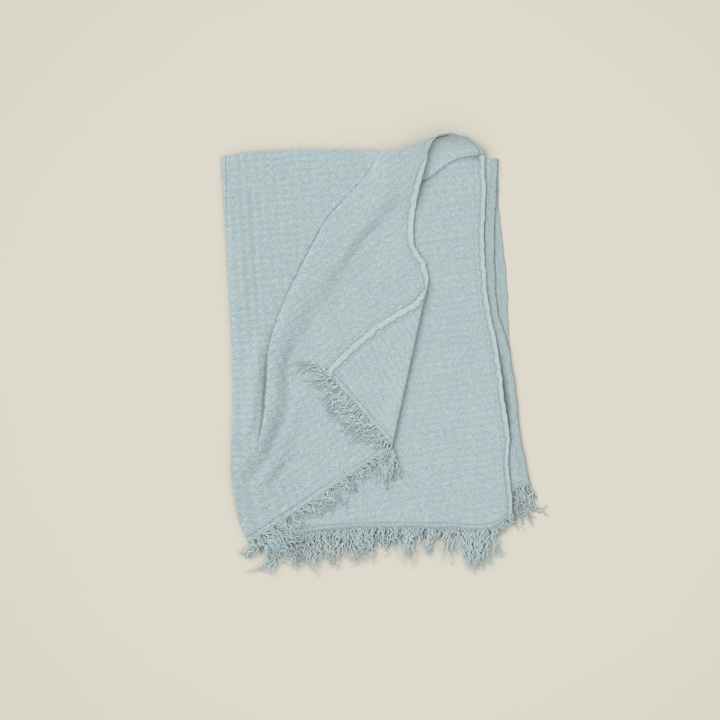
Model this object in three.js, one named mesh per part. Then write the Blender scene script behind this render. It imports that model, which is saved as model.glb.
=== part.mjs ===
// A pale blue linen throw with a fringe at both cut ends. It is folded in half
// lengthwise at its top fold, then in half at its left fold, and lies flat in four
// layers. The free corner of the top layer is turned back over it.
// Millimetres, +Z up, +Y towards the top fold. The bottom layer rests on z = 0.
import * as THREE from "three";

// Cloth
const SHEET = 2;
const HEM_THICK = 3;
const HEM_WIDTH = 14;
const HEM_EASE = 4;
const PITCH = 4.5;

// Middles of the four layers, from the resting face up
const BOTTOM_Z = SHEET / 2;
const THIRD_Z = BOTTOM_Z + PITCH;
const SECOND_Z = THIRD_Z + PITCH;
const TOP_Z = SECOND_Z + PITCH;

// Fringe
const EDGE_GAP = 0.6;
const STRIP_WIDTH = 5;
const LOCK_PITCH = 13;
const LOCK_WIDTH = 4;
const LOCK_TIP_WIDTH = 2.4;
const LOCK_LENGTH = 78;
const LOCK_STEPS = 4;
const LOCK_THICK = 2;
const LOCK_DROP = 30;
const LOCK_CLEARANCE = 0.5;
const CORNER_CLEARANCE = 1.2;
const LOCK_UNEVEN = 0.5;
const LOCK_LEAN = 3;
const LOCK_SWAY = 2.5;
const LOCK_WAVE = 5;
const LOCK_PHASE = 0.7;
const BARE_AT_CREASE = 6;
const NUDGE = 0.5;
const SHORTEST_CELL = 0.7;
const SEED_STEP = 11;
const LUCK_STEP = 7;
const CHANCE = { step: 127.1, start: 3.7, scale: 43758.5453 };

// Finish
const CLOTH_COLOUR = 0xb4cad0;
const FRINGE_COLOUR = 0xb9ced3;
const LINEN_ROUGHNESS = 0.95;

// Moves the built cloth so that the origin is under the middle of its box
const ORIGIN = { x: -1.5, y: -3.8 };

// Rows of named numbers, a row for each point of a guide
function table(names, ...rows) {
  const keys = names.split(" ");
  return rows.map((row) => Object.fromEntries(keys.map((key, i) => [key, row[i]])));
}

// Guides: lines on the laid cloth seen from above. "at" is the share of the way
// from the top fold to the fringe, or from the left fold to the hem.
const TOP_LEFT_FOLD = table(
  "at x y",
  [0, -355, 471],
  [0.23, -357, 266],
  [0.49, -348, 19],
  [0.65, -345, -122],
  [0.8, -350, -263],
  [0.93, -336, -370],
  [1, -311, -432],
);
const PLEAT_LINE = table(
  "at x y",
  [0, -14, 482],
  [0.06, -42, 428],
  [0.17, -132, 327],
  [0.27, -183, 235],
  [0.37, -228, 143],
  [0.45, -256, 70],
  [0.51, -270, 14],
  [0.6, -275, -66],
  [0.68, -282, -141],
  [0.76, -296, -216],
  [0.86, -301, -310],
  [1, -280, -411],
);
const CORNER_LINE = table(
  "at x y",
  [0, 85, 458],
  [0.113, 68, 395],
  [0.23, 55, 324],
  [0.323, 56, 266],
  [0.4, 81, 219],
  [0.46, 91, 186],
  [0.52, 94, 148],
  [1, 14, -212],
);
const TOP_HEM = table(
  "at x y",
  [0, 99, 458],
  [0.113, 82, 395],
  [0.23, 70, 324],
  [0.323, 71, 266],
  [0.4, 94, 226],
  [0.46, 104, 195],
  [0.53, 106, 160],
  [0.6, 119, 118],
  [0.73, 166, 50],
  [0.887, 209, -37],
  [1, 238, -116],
);
const SECOND_HEM = table(
  "at x y",
  [0, 235, 477],
  [0.125, 238, 371],
  [0.205, 234, 303],
  [0.285, 236, 235],
  [0.4, 244, 136],
  [0.55, 268, 14],
  [0.71, 285, -120],
  [0.77, 294, -174],
  [0.86, 292, -250],
  [0.95, 300, -325],
  [1, 301, -366],
);
const SECOND_TOP = table(
  "at x y",
  [0, -360, 473],
  [0.05, -330, 480],
  [0.12, -288, 483],
  [0.45, -92, 484],
  [0.6, 2, 460],
  [0.75, 85, 416],
  [0.885, 167, 465],
  [1, 235, 477],
);
const SECOND_FRINGE = table(
  "at x y",
  [0, -308, -440],
  [0.2, -185, -420],
  [0.3, -127, -412],
  [0.5, -2, -404],
  [0.75, 153, -404],
  [0.86, 225, -407],
  [0.94, 268, -397],
  [1, 301, -366],
);
// How the top layer's edge at the top fold bows between the left fold and the pleat
const TOP_EDGE = table(
  "at x y",
  [0, -360, 473],
  [0.09, -329, 480],
  [0.2, -291, 483],
  [0.6, -152, 485],
  [1, -14, 482],
);
const LOWER_LEFT_FOLD = table(
  "at x y",
  [0, -377, 464],
  [0.23, -364, 266],
  [0.49, -350, 19],
  [0.65, -348, -122],
  [0.8, -350, -263],
  [0.93, -336, -370],
  [1, -311, -434],
);
const THIRD_HEM = table(
  "at x y",
  [0, 266, 465],
  [0.12, 262, 371],
  [0.21, 258, 301],
  [0.38, 260, 176],
  [0.48, 268, 99],
  [0.54, 284, 54],
  [0.62, 297, -8],
  [0.74, 310, -96],
  [0.83, 317, -171],
  [0.92, 330, -240],
  [1, 342, -298],
);
const THIRD_FRINGE = table(
  "at x y",
  [0, -311, -432],
  [0.3, -118, -417],
  [0.55, 40, -398],
  [0.84, 238, -340],
  [1, 342, -298],
);
const BOTTOM_HEM = table(
  "at x y",
  [0, 268, 465],
  [0.12, 268, 371],
  [0.24, 277, 280],
  [0.37, 287, 182],
  [0.5, 291, 86],
  [0.6, 296, 8],
  [0.74, 306, -96],
  [0.84, 315, -171],
  [0.93, 330, -250],
  [1, 345, -308],
);
const BOTTOM_FRINGE = table(
  "at x y",
  [0, -311, -434],
  [0.3, -118, -421],
  [0.55, 38, -404],
  [0.84, 238, -348],
  [1, 345, -308],
);

// The pleat across the top layer. Each row is a place on its rolled side: how far it
// lies to the right of the pleat line, its height, and where it lies when pressed flat.
const PLEAT = table(
  "out up flat",
  [-14, 0, -14],
  [3, 0.3, -8],
  [7, 3, -3],
  [1, 6, 1],
  [-2, 9, 5],
  [3, 12, 10],
  [14, 13, 16],
);
const PLEAT_SIZE = table(
  "at size",
  [0, 0],
  [0.06, 0.25],
  [0.2, 0.6],
  [0.45, 0.9],
  [0.62, 1],
  [0.7, 0.8],
  [0.8, 0.25],
  [0.9, 0],
  [1, 0],
);
const PLEAT_REACH = 95;
const FULL_PLEAT = 0.5;
const GUIDE_STEP = 0.01;

// Soft folds of the top layer: a ridge or a trough along each line, which fades in
// and out over SOFT_ENDS of its length
const SOFT_ENDS = 0.25;
const SOFT_FOLDS = [
  {
    name: "trough beside the pleat",
    high: -6,
    half: 24,
    line: table("at x y", [0, 30, 350], [0.3, -92, 219], [0.6, -193, 33], [0.8, -250, -120], [1, -306, -254]),
  },
  {
    name: "swell under the open end of the top fold",
    high: 12,
    half: 60,
    line: table("at x y", [0, -40, 452], [0.5, 70, 450], [1, 190, 440]),
  },
  {
    name: "ridge towards the left fold",
    high: 4,
    half: 18,
    line: table("at x y", [0, -190, -60], [0.5, -250, -230], [1, -300, -340]),
  },
];

// The corner turned back: the crease runs from the hem to the fringe
const CREASE_TOP = new THREE.Vector2(103, 195);
const CREASE_END = new THREE.Vector2(14, -212);
const CREASE_RADIUS = 3.5;
const CORNER_SETTLE = 45;
const LEAST_SLANT = 0.3;

// Width of the turned corner where it holds only the hem, and the width it grows by
// before it has a crease and a stitch line of its own
const HEM_ONLY = 22;
const HEM_ONLY_EASE = 50;

// How far a flat fold reaches past its layers before it turns, in fold radii, and the
// ways the top fold and the left fold face
const FOLD_REACH = 4 / 3;
const AWAY = new THREE.Vector3(0, 1, 0);
const LEFT = new THREE.Vector3(-1, 0, 0);

// The open end of the top fold: how much further than a flat fold the cloth reaches
// from the top layer and from the second layer before it turns, across from the left
// fold to the hem. "lag" holds the steps back on the second layer's side.
const OPEN_FOLD = table(
  "at topX topY topZ secondX secondY secondZ lag",
  [0, 0, 0, 0, 0, 0, 0, 0],
  [0.6, 0, 0, 0, 0, 0, 0, 0],
  [0.664, -3, 6, 4, -12, 0, 0, 0],
  [0.75, -5, 24, 8, -28, 8, 2, 0.1],
  [0.885, -2, 54, 10, -21, 24, 6, 0.3],
  [0.977, 9, 88, 16, 9, 11, 20, 0.5],
  [1, 5, 93, 30, 3, 15, 38, 0.5],
);

// Places across the upper pair, as shares of the second layer from its left fold
const PLEAT_SHARE = { start: 0.56, end: 0.6 };
const HEM_SHARE = 0.977;
const LOWER_STITCH = 0.978;
const COLUMNS = { inside: 5, outside: 8, crease: 3, corner: 2, hem: 2, lower: 8, turn: 6 };
const HEM_CROWDING = 1.4;
const FACE_ROWS = [1, 0.95, 0.9, 0.85, 0.8, 0.75, 0.7, 0.65, 0.6, 0.55, 0.51, 0.48, 0.45, 0.41, 0.36, 0.3];
const FACE_ROWS_TOP = [0.24, 0.18, 0.13, 0.08, 0.04, 0];
const BACK_ROWS = [0, 0.04, 0.1, 0.18, 0.27, 0.36, 0.45, 0.54, 0.63, 0.72, 0.81, 0.9, 0.96, 1];
const TOP_FOLD_STEPS = 8;

const mix = THREE.MathUtils.lerp;
const smooth = (value) => THREE.MathUtils.smoothstep(value, 0, 1);

// A column of a table at a share of the way along it, as a smooth curve through its
// rows. Between two equal values it stays level.
function follow(rows, at, key) {
  let i = 0;
  while (i < rows.length - 2 && at > rows[i + 1].at) i += 1;
  const slope = (j) => {
    const before = rows[Math.max(j - 1, 0)];
    const after = rows[Math.min(j + 1, rows.length - 1)];
    if (rows[j][key] === before[key] && j > 0) return 0;
    if (rows[j][key] === after[key] && j < rows.length - 1) return 0;
    return (after[key] - before[key]) / (after.at - before.at);
  };
  const span = rows[i + 1].at - rows[i].at;
  const u = (at - rows[i].at) / span;
  const rise = rows[i + 1][key] - rows[i][key];
  const bend = (1 - u) * (span * slope(i) - rise) - u * (span * slope(i + 1) - rise);
  return rows[i][key] + u * rise + u * (1 - u) * bend;
}

function point(rows, at) {
  return new THREE.Vector2(follow(rows, at, "x"), follow(rows, at, "y"));
}

// How far a guide bows away from the straight line between its ends
function bow(rows, at) {
  const last = rows[rows.length - 1];
  const straight = new THREE.Vector2(mix(rows[0].x, last.x, at), mix(rows[0].y, last.y, at));
  return point(rows, at).sub(straight);
}

// A layer seen from above, between its left fold, hem, top line and fringe line
function layerPlan(left, hem, top, fringe, across, down) {
  const place = point(left, down).lerp(point(hem, down), across);
  if (top) place.addScaledVector(bow(top, across), 1 - down);
  return place.addScaledVector(bow(fringe, across), down);
}

// A place on the rolled side of the pleat, and its height. Across the pleat where it
// is full, and along the weft where it runs out.
function pleatPlace(row, down) {
  const line = point(PLEAT_LINE, down);
  const ahead = point(PLEAT_LINE, Math.min(down + GUIDE_STEP, 1));
  const run = ahead.sub(point(PLEAT_LINE, Math.max(down - GUIDE_STEP, 0)));
  const across = new THREE.Vector2(-run.y, run.x).normalize();
  const weft = point(CORNER_LINE, down).sub(line).normalize();
  const size = Math.max(0, follow(PLEAT_SIZE, down, "size"));
  const right = weft.lerp(across, Math.min(1, size / FULL_PLEAT)).normalize();
  const place = line.addScaledVector(right, mix(row.flat, row.out, size));
  return { place, up: row.up * size };
}

// Sampled lines, for the distance from a place to a fold
const SAMPLES = 40;
const shares = Array.from({ length: SAMPLES + 1 }, (_, i) => i / SAMPLES);
const CREST = PLEAT[PLEAT.length - 1];
const crestLine = shares.map((at) => {
  const { place, up } = pleatPlace(CREST, at);
  return { at, x: place.x, y: place.y, up };
});
for (const fold of SOFT_FOLDS) {
  fold.points = shares.map((at) => ({ at, x: follow(fold.line, at, "x"), y: follow(fold.line, at, "y") }));
}

function nearest(points, x, y) {
  let best = { distance: Infinity };
  for (let i = 0; i < points.length - 1; i += 1) {
    const a = points[i];
    const b = points[i + 1];
    const run = { x: b.x - a.x, y: b.y - a.y };
    const length = run.x * run.x + run.y * run.y;
    const u = THREE.MathUtils.clamp(((x - a.x) * run.x + (y - a.y) * run.y) / length, 0, 1);
    const distance = Math.hypot(x - a.x - u * run.x, y - a.y - u * run.y);
    if (distance < best.distance) {
      const side = run.x * (y - a.y) - run.y * (x - a.x);
      best = { distance, at: mix(a.at, b.at, u), up: mix(a.up, b.up, u), side };
    }
  }
  return best;
}

// Height of the top layer over its flat level: the pleat's roll and the soft folds
function swell(x, y, pleat) {
  const crest = nearest(crestLine, x, y);
  const roll = crest.side > 0 ? crest.up * Math.exp(-((crest.distance / PLEAT_REACH) ** 2)) : 0;
  let high = pleat ?? roll;
  for (const fold of SOFT_FOLDS) {
    const { distance, at } = nearest(fold.points, x, y);
    const ends = smooth(at / SOFT_ENDS) * smooth((1 - at) / SOFT_ENDS);
    high += fold.high * ends * Math.exp(-((distance / fold.half) ** 2));
  }
  return Math.max(0, high);
}

// Turns the free corner back: cloth beyond the crease goes round it and lies on top
const creaseRun = CREASE_END.clone().sub(CREASE_TOP).normalize();
const creaseOut = new THREE.Vector2(-creaseRun.y, creaseRun.x);
const TURN = Math.PI * CREASE_RADIUS;

function beyondCrease(x, y) {
  return (x - CREASE_TOP.x) * creaseOut.x + (y - CREASE_TOP.y) * creaseOut.y;
}

function turnBack(x, y) {
  const beyond = beyondCrease(x, y);
  if (beyond <= 0) return { x, y, up: 0 };
  const arc = Math.min(beyond, TURN);
  const angle = arc / CREASE_RADIUS;
  const shift = CREASE_RADIUS * Math.sin(angle) - (beyond - arc) - beyond;
  const settle = (2 * CREASE_RADIUS - PITCH) * smooth((beyond - arc) / CORNER_SETTLE);
  return {
    x: x + creaseOut.x * shift,
    y: y + creaseOut.y * shift,
    up: CREASE_RADIUS * (1 - Math.cos(angle)) - settle,
  };
}

// A place on the top layer's middle, from its place before the corner is turned back
function onTopLayer(x, y, pleat) {
  const turned = turnBack(x, y);
  return new THREE.Vector3(turned.x, turned.y, TOP_Z + swell(turned.x, turned.y, pleat) + turned.up);
}

// Thickness of the sheet at a distance from its hemmed edge, eased at the stitch line
function thickness(fromHem) {
  return mix(SHEET, HEM_THICK, smooth((HEM_WIDTH + HEM_EASE / 2 - fromHem) / HEM_EASE));
}

// The columns of the upper pair, from the hem to the left fold. "second" is the
// share across the second layer.
function upperColumns() {
  const columns = [];
  const cornerSteps = COLUMNS.crease + COLUMNS.corner + COLUMNS.hem;
  for (let k = cornerSteps; k > 0; k -= 1) {
    const narrow = k / cornerSteps;
    columns.push({ zone: "corner", step: k, narrow, second: mix(HEM_SHARE, 1, narrow) });
  }
  for (let k = COLUMNS.outside; k > 0; k -= 1) {
    const share = k / COLUMNS.outside;
    const second = mix(PLEAT_SHARE.end, HEM_SHARE, 1 - (1 - share) ** HEM_CROWDING);
    columns.push({ zone: "outside", share, second });
  }
  for (let k = PLEAT.length - 1; k >= 0; k -= 1) {
    const second = mix(PLEAT_SHARE.start, PLEAT_SHARE.end, k / (PLEAT.length - 1));
    columns.push({ zone: "pleat", row: PLEAT[k], second });
  }
  for (let k = COLUMNS.inside - 1; k >= 0; k -= 1) {
    const share = k / COLUMNS.inside;
    columns.push({ zone: "inside", share, second: PLEAT_SHARE.start * share });
  }
  return columns;
}

// Shares across the turned corner: close steps round the crease, then even ones to
// the hem's stitch line, then the hem. Where only the hem is left, all steps are even.
function cornerShare(column, width, slant) {
  const round = TURN / slant / width;
  const inner = 1 - HEM_WIDTH / width;
  const past = column.step - COLUMNS.crease;
  let wide = (round * column.step) / COLUMNS.crease;
  if (past > 0) wide = mix(round, inner, Math.min(1, past / (COLUMNS.corner + 1)));
  if (past > COLUMNS.corner + 1) wide = 1;
  return mix(column.narrow, wide, smooth((width - HEM_ONLY) / HEM_ONLY_EASE));
}

function topPlan(column, down) {
  if (column.zone === "pleat") return pleatPlace(column.row, down);
  const line = point(CORNER_LINE, down);
  if (column.zone === "inside") {
    const start = pleatPlace(PLEAT[0], down).place;
    const place = point(TOP_LEFT_FOLD, down).lerp(start, column.share);
    return { place: place.addScaledVector(bow(TOP_EDGE, column.share), 1 - down), up: 0 };
  }
  if (column.zone === "outside") {
    return { place: pleatPlace(CREST, down).place.lerp(line, column.share) };
  }
  const run = point(TOP_HEM, down).sub(line);
  const width = run.length();
  const slant = Math.max(LEAST_SLANT, run.dot(creaseOut) / width);
  const share = cornerShare(column, width, slant);
  return { place: line.addScaledVector(run, share), fromHem: (1 - share) * width };
}

// The fold inside the outer one lies halfway between the upper and the lower edge
const INNER_LEFT_FOLD = TOP_LEFT_FOLD.map((upper, i) => {
  const lower = LOWER_LEFT_FOLD[i];
  return { at: upper.at, x: mix(upper.x, lower.x, 0.5), y: mix(upper.y, lower.y, 0.5) };
});

// The middle of the sheet at a place, with its thickness there
function topMiddle(column, down) {
  const { place, up, fromHem } = topPlan(column, down);
  const thick = thickness(fromHem ?? Infinity);
  const middle = onTopLayer(place.x, place.y, up);
  middle.z += (thick - SHEET) / 2;
  return { middle, thick };
}

function flatMiddle(left, hem, top, fringe, across, down, level) {
  const place = layerPlan(left, hem, top, fringe, across, down);
  const width = point(hem, down).distanceTo(point(left, down));
  const thick = thickness((1 - across) * width);
  return { middle: new THREE.Vector3(place.x, place.y, level + (thick - SHEET) / 2), thick };
}

const secondMiddle = (across, down) =>
  flatMiddle(INNER_LEFT_FOLD, SECOND_HEM, SECOND_TOP, SECOND_FRINGE, across, down, SECOND_Z);
const thirdMiddle = (across, down) =>
  flatMiddle(INNER_LEFT_FOLD, THIRD_HEM, null, THIRD_FRINGE, across, down, THIRD_Z);
const bottomMiddle = (across, down) =>
  flatMiddle(LOWER_LEFT_FOLD, BOTTOM_HEM, null, BOTTOM_FRINGE, across, down, BOTTOM_Z);

// A fold between two layers: a curve that leaves both of them towards "out". The two
// sides reach one line there before they turn, and "more" adds to each side's reach.
function acrossFold(face, back, out, turn, more) {
  const round = (FOLD_REACH * Math.abs(face.middle.z - back.middle.z)) / 2;
  const ahead = back.middle.clone().sub(face.middle).dot(out);
  const faceEnd = face.middle.clone().addScaledVector(out, round + Math.max(0, ahead));
  const backEnd = back.middle.clone().addScaledVector(out, round + Math.max(0, -ahead));
  if (more) {
    faceEnd.add(more.face);
    backEnd.add(more.back);
  }
  const curve = new THREE.CubicBezierCurve3(face.middle, faceEnd, backEnd, back.middle);
  return { middle: curve.getPoint(turn), thick: mix(face.thick, back.thick, turn) };
}

const FACE = [...FACE_ROWS, ...FACE_ROWS_TOP];
const ROWS = [
  ...FACE.map((down) => ({ part: "face", down })),
  ...Array.from({ length: TOP_FOLD_STEPS - 1 }, (_, k) => ({ part: "fold", turn: (k + 1) / TOP_FOLD_STEPS })),
  ...BACK_ROWS.map((down) => ({ part: "back", down })),
];

function upperPlace(column, row) {
  if (row.part === "face") return topMiddle(column, row.down);
  if (row.part === "back") return secondMiddle(column.second, row.down);
  const open = (key) => follow(OPEN_FOLD, column.second, key);
  const more = {
    face: new THREE.Vector3(open("topX"), open("topY"), open("topZ")),
    back: new THREE.Vector3(open("secondX"), open("secondY"), open("secondZ")),
  };
  const turn = row.turn ** (1 + open("lag"));
  return acrossFold(topMiddle(column, 0), secondMiddle(column.second, 0), AWAY, turn, more);
}

function lowerPlace(across, row) {
  if (row.part === "face") return bottomMiddle(across, row.down);
  if (row.part === "back") return thirdMiddle(across, row.down);
  return acrossFold(bottomMiddle(across, 0), thirdMiddle(across, 0), AWAY, row.turn);
}

// The middle of the whole sheet as a grid of places, a row at a time
function sheetRows() {
  const columns = upperColumns();
  return ROWS.map((row) => {
    const upper = columns.map((column) => upperPlace(column, row));
    const lower = [];
    for (let k = 0; k <= COLUMNS.lower; k += 1) {
      lower.push(lowerPlace((k / COLUMNS.lower) * LOWER_STITCH, row));
    }
    lower.push(lowerPlace(1, row));
    const round = [];
    for (let k = 1; k < COLUMNS.turn; k += 1) {
      round.push(acrossFold(upper[upper.length - 1], lower[0], LEFT, k / COLUMNS.turn));
    }
    return [...upper, ...round, ...lower];
  });
}

// A closed sheet round a grid of middles: both faces and the rim between them
function sheetGeometry(rows) {
  const tall = rows.length;
  const wide = rows[0].length;
  const outer = [];
  const inner = [];
  for (let i = 0; i < tall; i += 1) {
    for (let j = 0; j < wide; j += 1) {
      const { middle, thick } = rows[i][j];
      const up = rows[Math.min(i + 1, tall - 1)][j].middle.clone().sub(rows[Math.max(i - 1, 0)][j].middle);
      const along = rows[i][Math.min(j + 1, wide - 1)].middle.clone().sub(rows[i][Math.max(j - 1, 0)].middle);
      const normal = up.cross(along).normalize();
      outer.push(middle.clone().addScaledVector(normal, thick / 2));
      inner.push(middle.clone().addScaledVector(normal, -thick / 2));
    }
  }
  const count = tall * wide;
  const index = [];
  const quad = (a, b, c, d) => index.push(a, b, c, a, c, d);
  for (let i = 0; i < tall - 1; i += 1) {
    for (let j = 0; j < wide - 1; j += 1) {
      const a = i * wide + j;
      quad(a, a + wide, a + wide + 1, a + 1);
      quad(count + a, count + a + 1, count + a + wide + 1, count + a + wide);
    }
  }
  const rim = (a, b) => quad(a, b, count + b, count + a);
  for (let j = 0; j < wide - 1; j += 1) {
    rim(j, j + 1);
    rim((tall - 1) * wide + j + 1, (tall - 1) * wide + j);
  }
  for (let i = 0; i < tall - 1; i += 1) {
    rim((i + 1) * wide, i * wide);
    rim(i * wide + wide - 1, (i + 1) * wide + wide - 1);
  }
  return geometry([...outer, ...inner], index);
}

function geometry(points, index) {
  const made = new THREE.BufferGeometry();
  const numbers = points.flatMap((p) => [p.x, p.y, p.z]);
  made.setAttribute("position", new THREE.Float32BufferAttribute(numbers, 3));
  made.setIndex(index);
  made.computeVertexNormals();
  return made;
}

const throwGroup = new THREE.Group();
throwGroup.position.set(-ORIGIN.x, -ORIGIN.y, 0);

function addMesh(name, shape, colour) {
  const finish = { color: colour, roughness: LINEN_ROUGHNESS, metalness: 0 };
  const mesh = new THREE.Mesh(shape, new THREE.MeshStandardMaterial(finish));
  mesh.name = name;
  throwGroup.add(mesh);
}

// A fringed edge, seen from above, from the hem to the left fold: the place at a
// distance along it and the direction that points out of the cloth there
function edgeLine(points) {
  const lengths = [0];
  for (let i = 1; i < points.length; i += 1) {
    lengths.push(lengths[i - 1] + points[i].distanceTo(points[i - 1]));
  }
  const outward = (i) => {
    const run = points[Math.min(i + 1, points.length - 1)].clone().sub(points[Math.max(i - 1, 0)]);
    return new THREE.Vector2(-run.y, run.x).normalize();
  };
  const at = (distance) => {
    let i = 0;
    while (i < points.length - 2 && distance > lengths[i + 1]) i += 1;
    const u = (distance - lengths[i]) / (lengths[i + 1] - lengths[i]);
    const out = outward(i).lerp(outward(i + 1), u).normalize();
    return { place: points[i].clone().lerp(points[i + 1], u), out };
  };
  return { lengths, at };
}

// Cells along a fringed edge, one for each lock. They begin and end at the edge's own
// corners. A stretch too short for a lock joins the next one, unless it is bare.
function fringeCells({ lengths, at }, isBare) {
  const cells = [];
  let from = lengths[0];
  for (let i = 1; i < lengths.length; i += 1) {
    const length = lengths[i] - from;
    const bare = isBare?.(at(mix(from, lengths[i], 0.5)).place) ?? false;
    if (length < LOCK_PITCH * SHORTEST_CELL && !bare && i < lengths.length - 1) continue;
    const count = bare ? 1 : Math.max(1, Math.round(length / LOCK_PITCH));
    for (let k = 0; k < count; k += 1) {
      cells.push({ start: from + (length * k) / count, end: from + (length * (k + 1)) / count, bare });
    }
    from = lengths[i];
  }
  return cells;
}

// A number between 0 and 1 that looks random, the same each time
function chance(seed) {
  const value = Math.sin(seed * CHANCE.step + CHANCE.start) * CHANCE.scale;
  return value - Math.floor(value);
}

// A fringe: a narrow strip along the edge, with locks of twisted ends growing out of
// it. "lay" puts a place seen from above on the layer's middle, and "rest" gives the
// height of what a lock lies on. A section has four corners: near and far on its
// upper side, then far and near on its lower side.
function fringeGeometry({ points, lay, rest, isBare, seed }) {
  const edge = edgeLine(points);
  const corners = [];
  const index = [];
  const add = (p) => corners.push(p) - 1;
  const quad = (a, b, c, d) => index.push(a, b, c, a, c, d);

  const rail = (distance, reach) => {
    const { place, out } = edge.at(distance);
    const base = place.addScaledVector(out, reach);
    const middle = lay(base.x, base.y);
    const along = lay(base.x + out.y * NUDGE, base.y - out.x * NUDGE).sub(middle);
    const outward = lay(base.x + out.x * NUDGE, base.y + out.y * NUDGE).sub(middle);
    const normal = along.clone().cross(outward).normalize();
    const upper = add(middle.clone().addScaledVector(normal, SHEET / 2));
    const lower = add(middle.clone().addScaledVector(normal, -SHEET / 2));
    return { upper, lower, middle, outward, normal, base };
  };

  const lock = (root, near, far, number) => {
    const luck = (k) => chance(seed + number * LUCK_STEP + k) - 0.5;
    const length = LOCK_LENGTH * (1 + LOCK_UNEVEN * luck(1));
    const from = near.middle.clone().lerp(far.middle, 0.5);
    const facing = Math.sign(near.normal.z);
    const heading = new THREE.Vector2(near.outward.x, near.outward.y).normalize();
    const side = new THREE.Vector2(heading.y, -heading.x).multiplyScalar(facing);
    const phase = number * LOCK_PHASE + seed;
    const lean = LOCK_LEAN * luck(2);
    let last = root;
    for (let k = 1; k <= LOCK_STEPS; k += 1) {
      const share = k / LOCK_STEPS;
      const wave = Math.sin(phase + share * LOCK_WAVE) - Math.sin(phase);
      const sway = lean * share + LOCK_SWAY * wave * share;
      const x = from.x + heading.x * length * share + side.x * sway;
      const y = from.y + heading.y * length * share + side.y * sway;
      const floor = rest(x, y, near.base);
      if (k === LOCK_STEPS) {
        const tip = add(new THREE.Vector3(x, y, floor + LOCK_THICK / 4));
        for (let m = 0; m < 4; m += 1) index.push(last[m], last[(m + 1) % 4], tip);
        return;
      }
      const settled = smooth((length * share) / LOCK_DROP);
      const z = mix(from.z, floor + LOCK_THICK / 2, settled);
      const half = mix(LOCK_WIDTH, LOCK_TIP_WIDTH, share) / 2;
      const up = (LOCK_THICK / 2) * facing;
      const corner = (across, high) =>
        add(new THREE.Vector3(x + side.x * across, y + side.y * across, z + high));
      const next = [corner(-half, up), corner(half, up), corner(half, -up), corner(-half, -up)];
      for (let m = 0; m < 4; m += 1) {
        const n = (m + 1) % 4;
        quad(last[m], last[n], next[n], next[m]);
      }
      last = next;
    }
  };

  const cells = fringeCells(edge, isBare);
  let inner = rail(cells[0].start, EDGE_GAP);
  let before = null;
  cells.forEach(({ start, end, bare }, number) => {
    const middle = (start + end) / 2;
    const half = Math.min(LOCK_WIDTH / 2, (end - start) / 4);
    const near = rail(middle - half, EDGE_GAP + STRIP_WIDTH);
    const far = rail(middle + half, EDGE_GAP + STRIP_WIDTH);
    const next = rail(end, EDGE_GAP);
    if (before) {
      index.push(inner.upper, near.upper, before.upper);
      index.push(inner.lower, before.lower, near.lower);
      quad(before.upper, near.upper, near.lower, before.lower);
    } else {
      quad(inner.upper, near.upper, near.lower, inner.lower);
    }
    quad(inner.upper, next.upper, far.upper, near.upper);
    quad(inner.lower, near.lower, far.lower, next.lower);
    quad(inner.upper, inner.lower, next.lower, next.upper);
    const root = [near.upper, far.upper, far.lower, near.lower];
    if (bare) quad(...root);
    else lock(root, near, far, number);
    inner = next;
    before = far;
  });
  quad(inner.upper, inner.lower, before.lower, before.upper);
  return geometry(corners, index);
}

addMesh("cloth", sheetGeometry(sheetRows()), CLOTH_COLOUR);

// The fringes, layer by layer. Each lies just above the hem of the layer below it.
const upper = upperColumns();
const lowerCount = { length: COLUMNS.lower + 1 };
const lowerShares = Array.from(lowerCount, (_, k) => (k / COLUMNS.lower) * LOWER_STITCH);
const lowerEdge = [...lowerShares, 1].reverse();
const flatLayer = (level) => (x, y) => new THREE.Vector3(x, y, level);
const overLayer = (level) => level - SHEET / 2 + HEM_THICK + LOCK_CLEARANCE;

const FRINGES = [
  {
    name: "fringe_top",
    points: upper.map((column) => topPlan(column, 1).place),
    lay: (x, y) => onTopLayer(x, y),
    rest: (x, y, base) => {
      if (beyondCrease(base.x, base.y) <= 0) return overLayer(SECOND_Z);
      return TOP_Z + SHEET / 2 + CORNER_CLEARANCE + swell(x, y);
    },
    isBare: ({ x, y }) => Math.abs(beyondCrease(x, y) - TURN / 2) < TURN / 2 + BARE_AT_CREASE,
  },
  {
    name: "fringe_second",
    points: upper.map((column) => secondMiddle(column.second, 1).middle),
    lay: flatLayer(SECOND_Z),
    rest: () => overLayer(THIRD_Z),
  },
  {
    name: "fringe_third",
    points: lowerEdge.map((across) => thirdMiddle(across, 1).middle),
    lay: flatLayer(THIRD_Z),
    rest: () => overLayer(BOTTOM_Z),
  },
  {
    name: "fringe_bottom",
    points: lowerEdge.map((across) => bottomMiddle(across, 1).middle),
    lay: flatLayer(BOTTOM_Z),
    rest: () => 0,
  },
];
FRINGES.forEach((fringe, i) => {
  const points = fringe.points.map(({ x, y }) => new THREE.Vector2(x, y));
  const seed = SEED_STEP * (i + 1);
  addMesh(fringe.name, fringeGeometry({ ...fringe, points, seed }), FRINGE_COLOUR);
});

export default throwGroup;
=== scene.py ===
"""A pale blue linen throw, folded in four, with hems along its sides and a fringe of
curly twisted threads at both cut ends. The free corner of the top layer is turned back.

Guides are in millimetres, as the cloth is laid: x to the right, y towards the top fold,
z up. "at" is a share of the way along a guide. On a layer, "down" is a share of the way
from the top fold to the fringe, and "across" of the way from the left fold to the hem.
Meshes are in metres."""

import math

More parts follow.
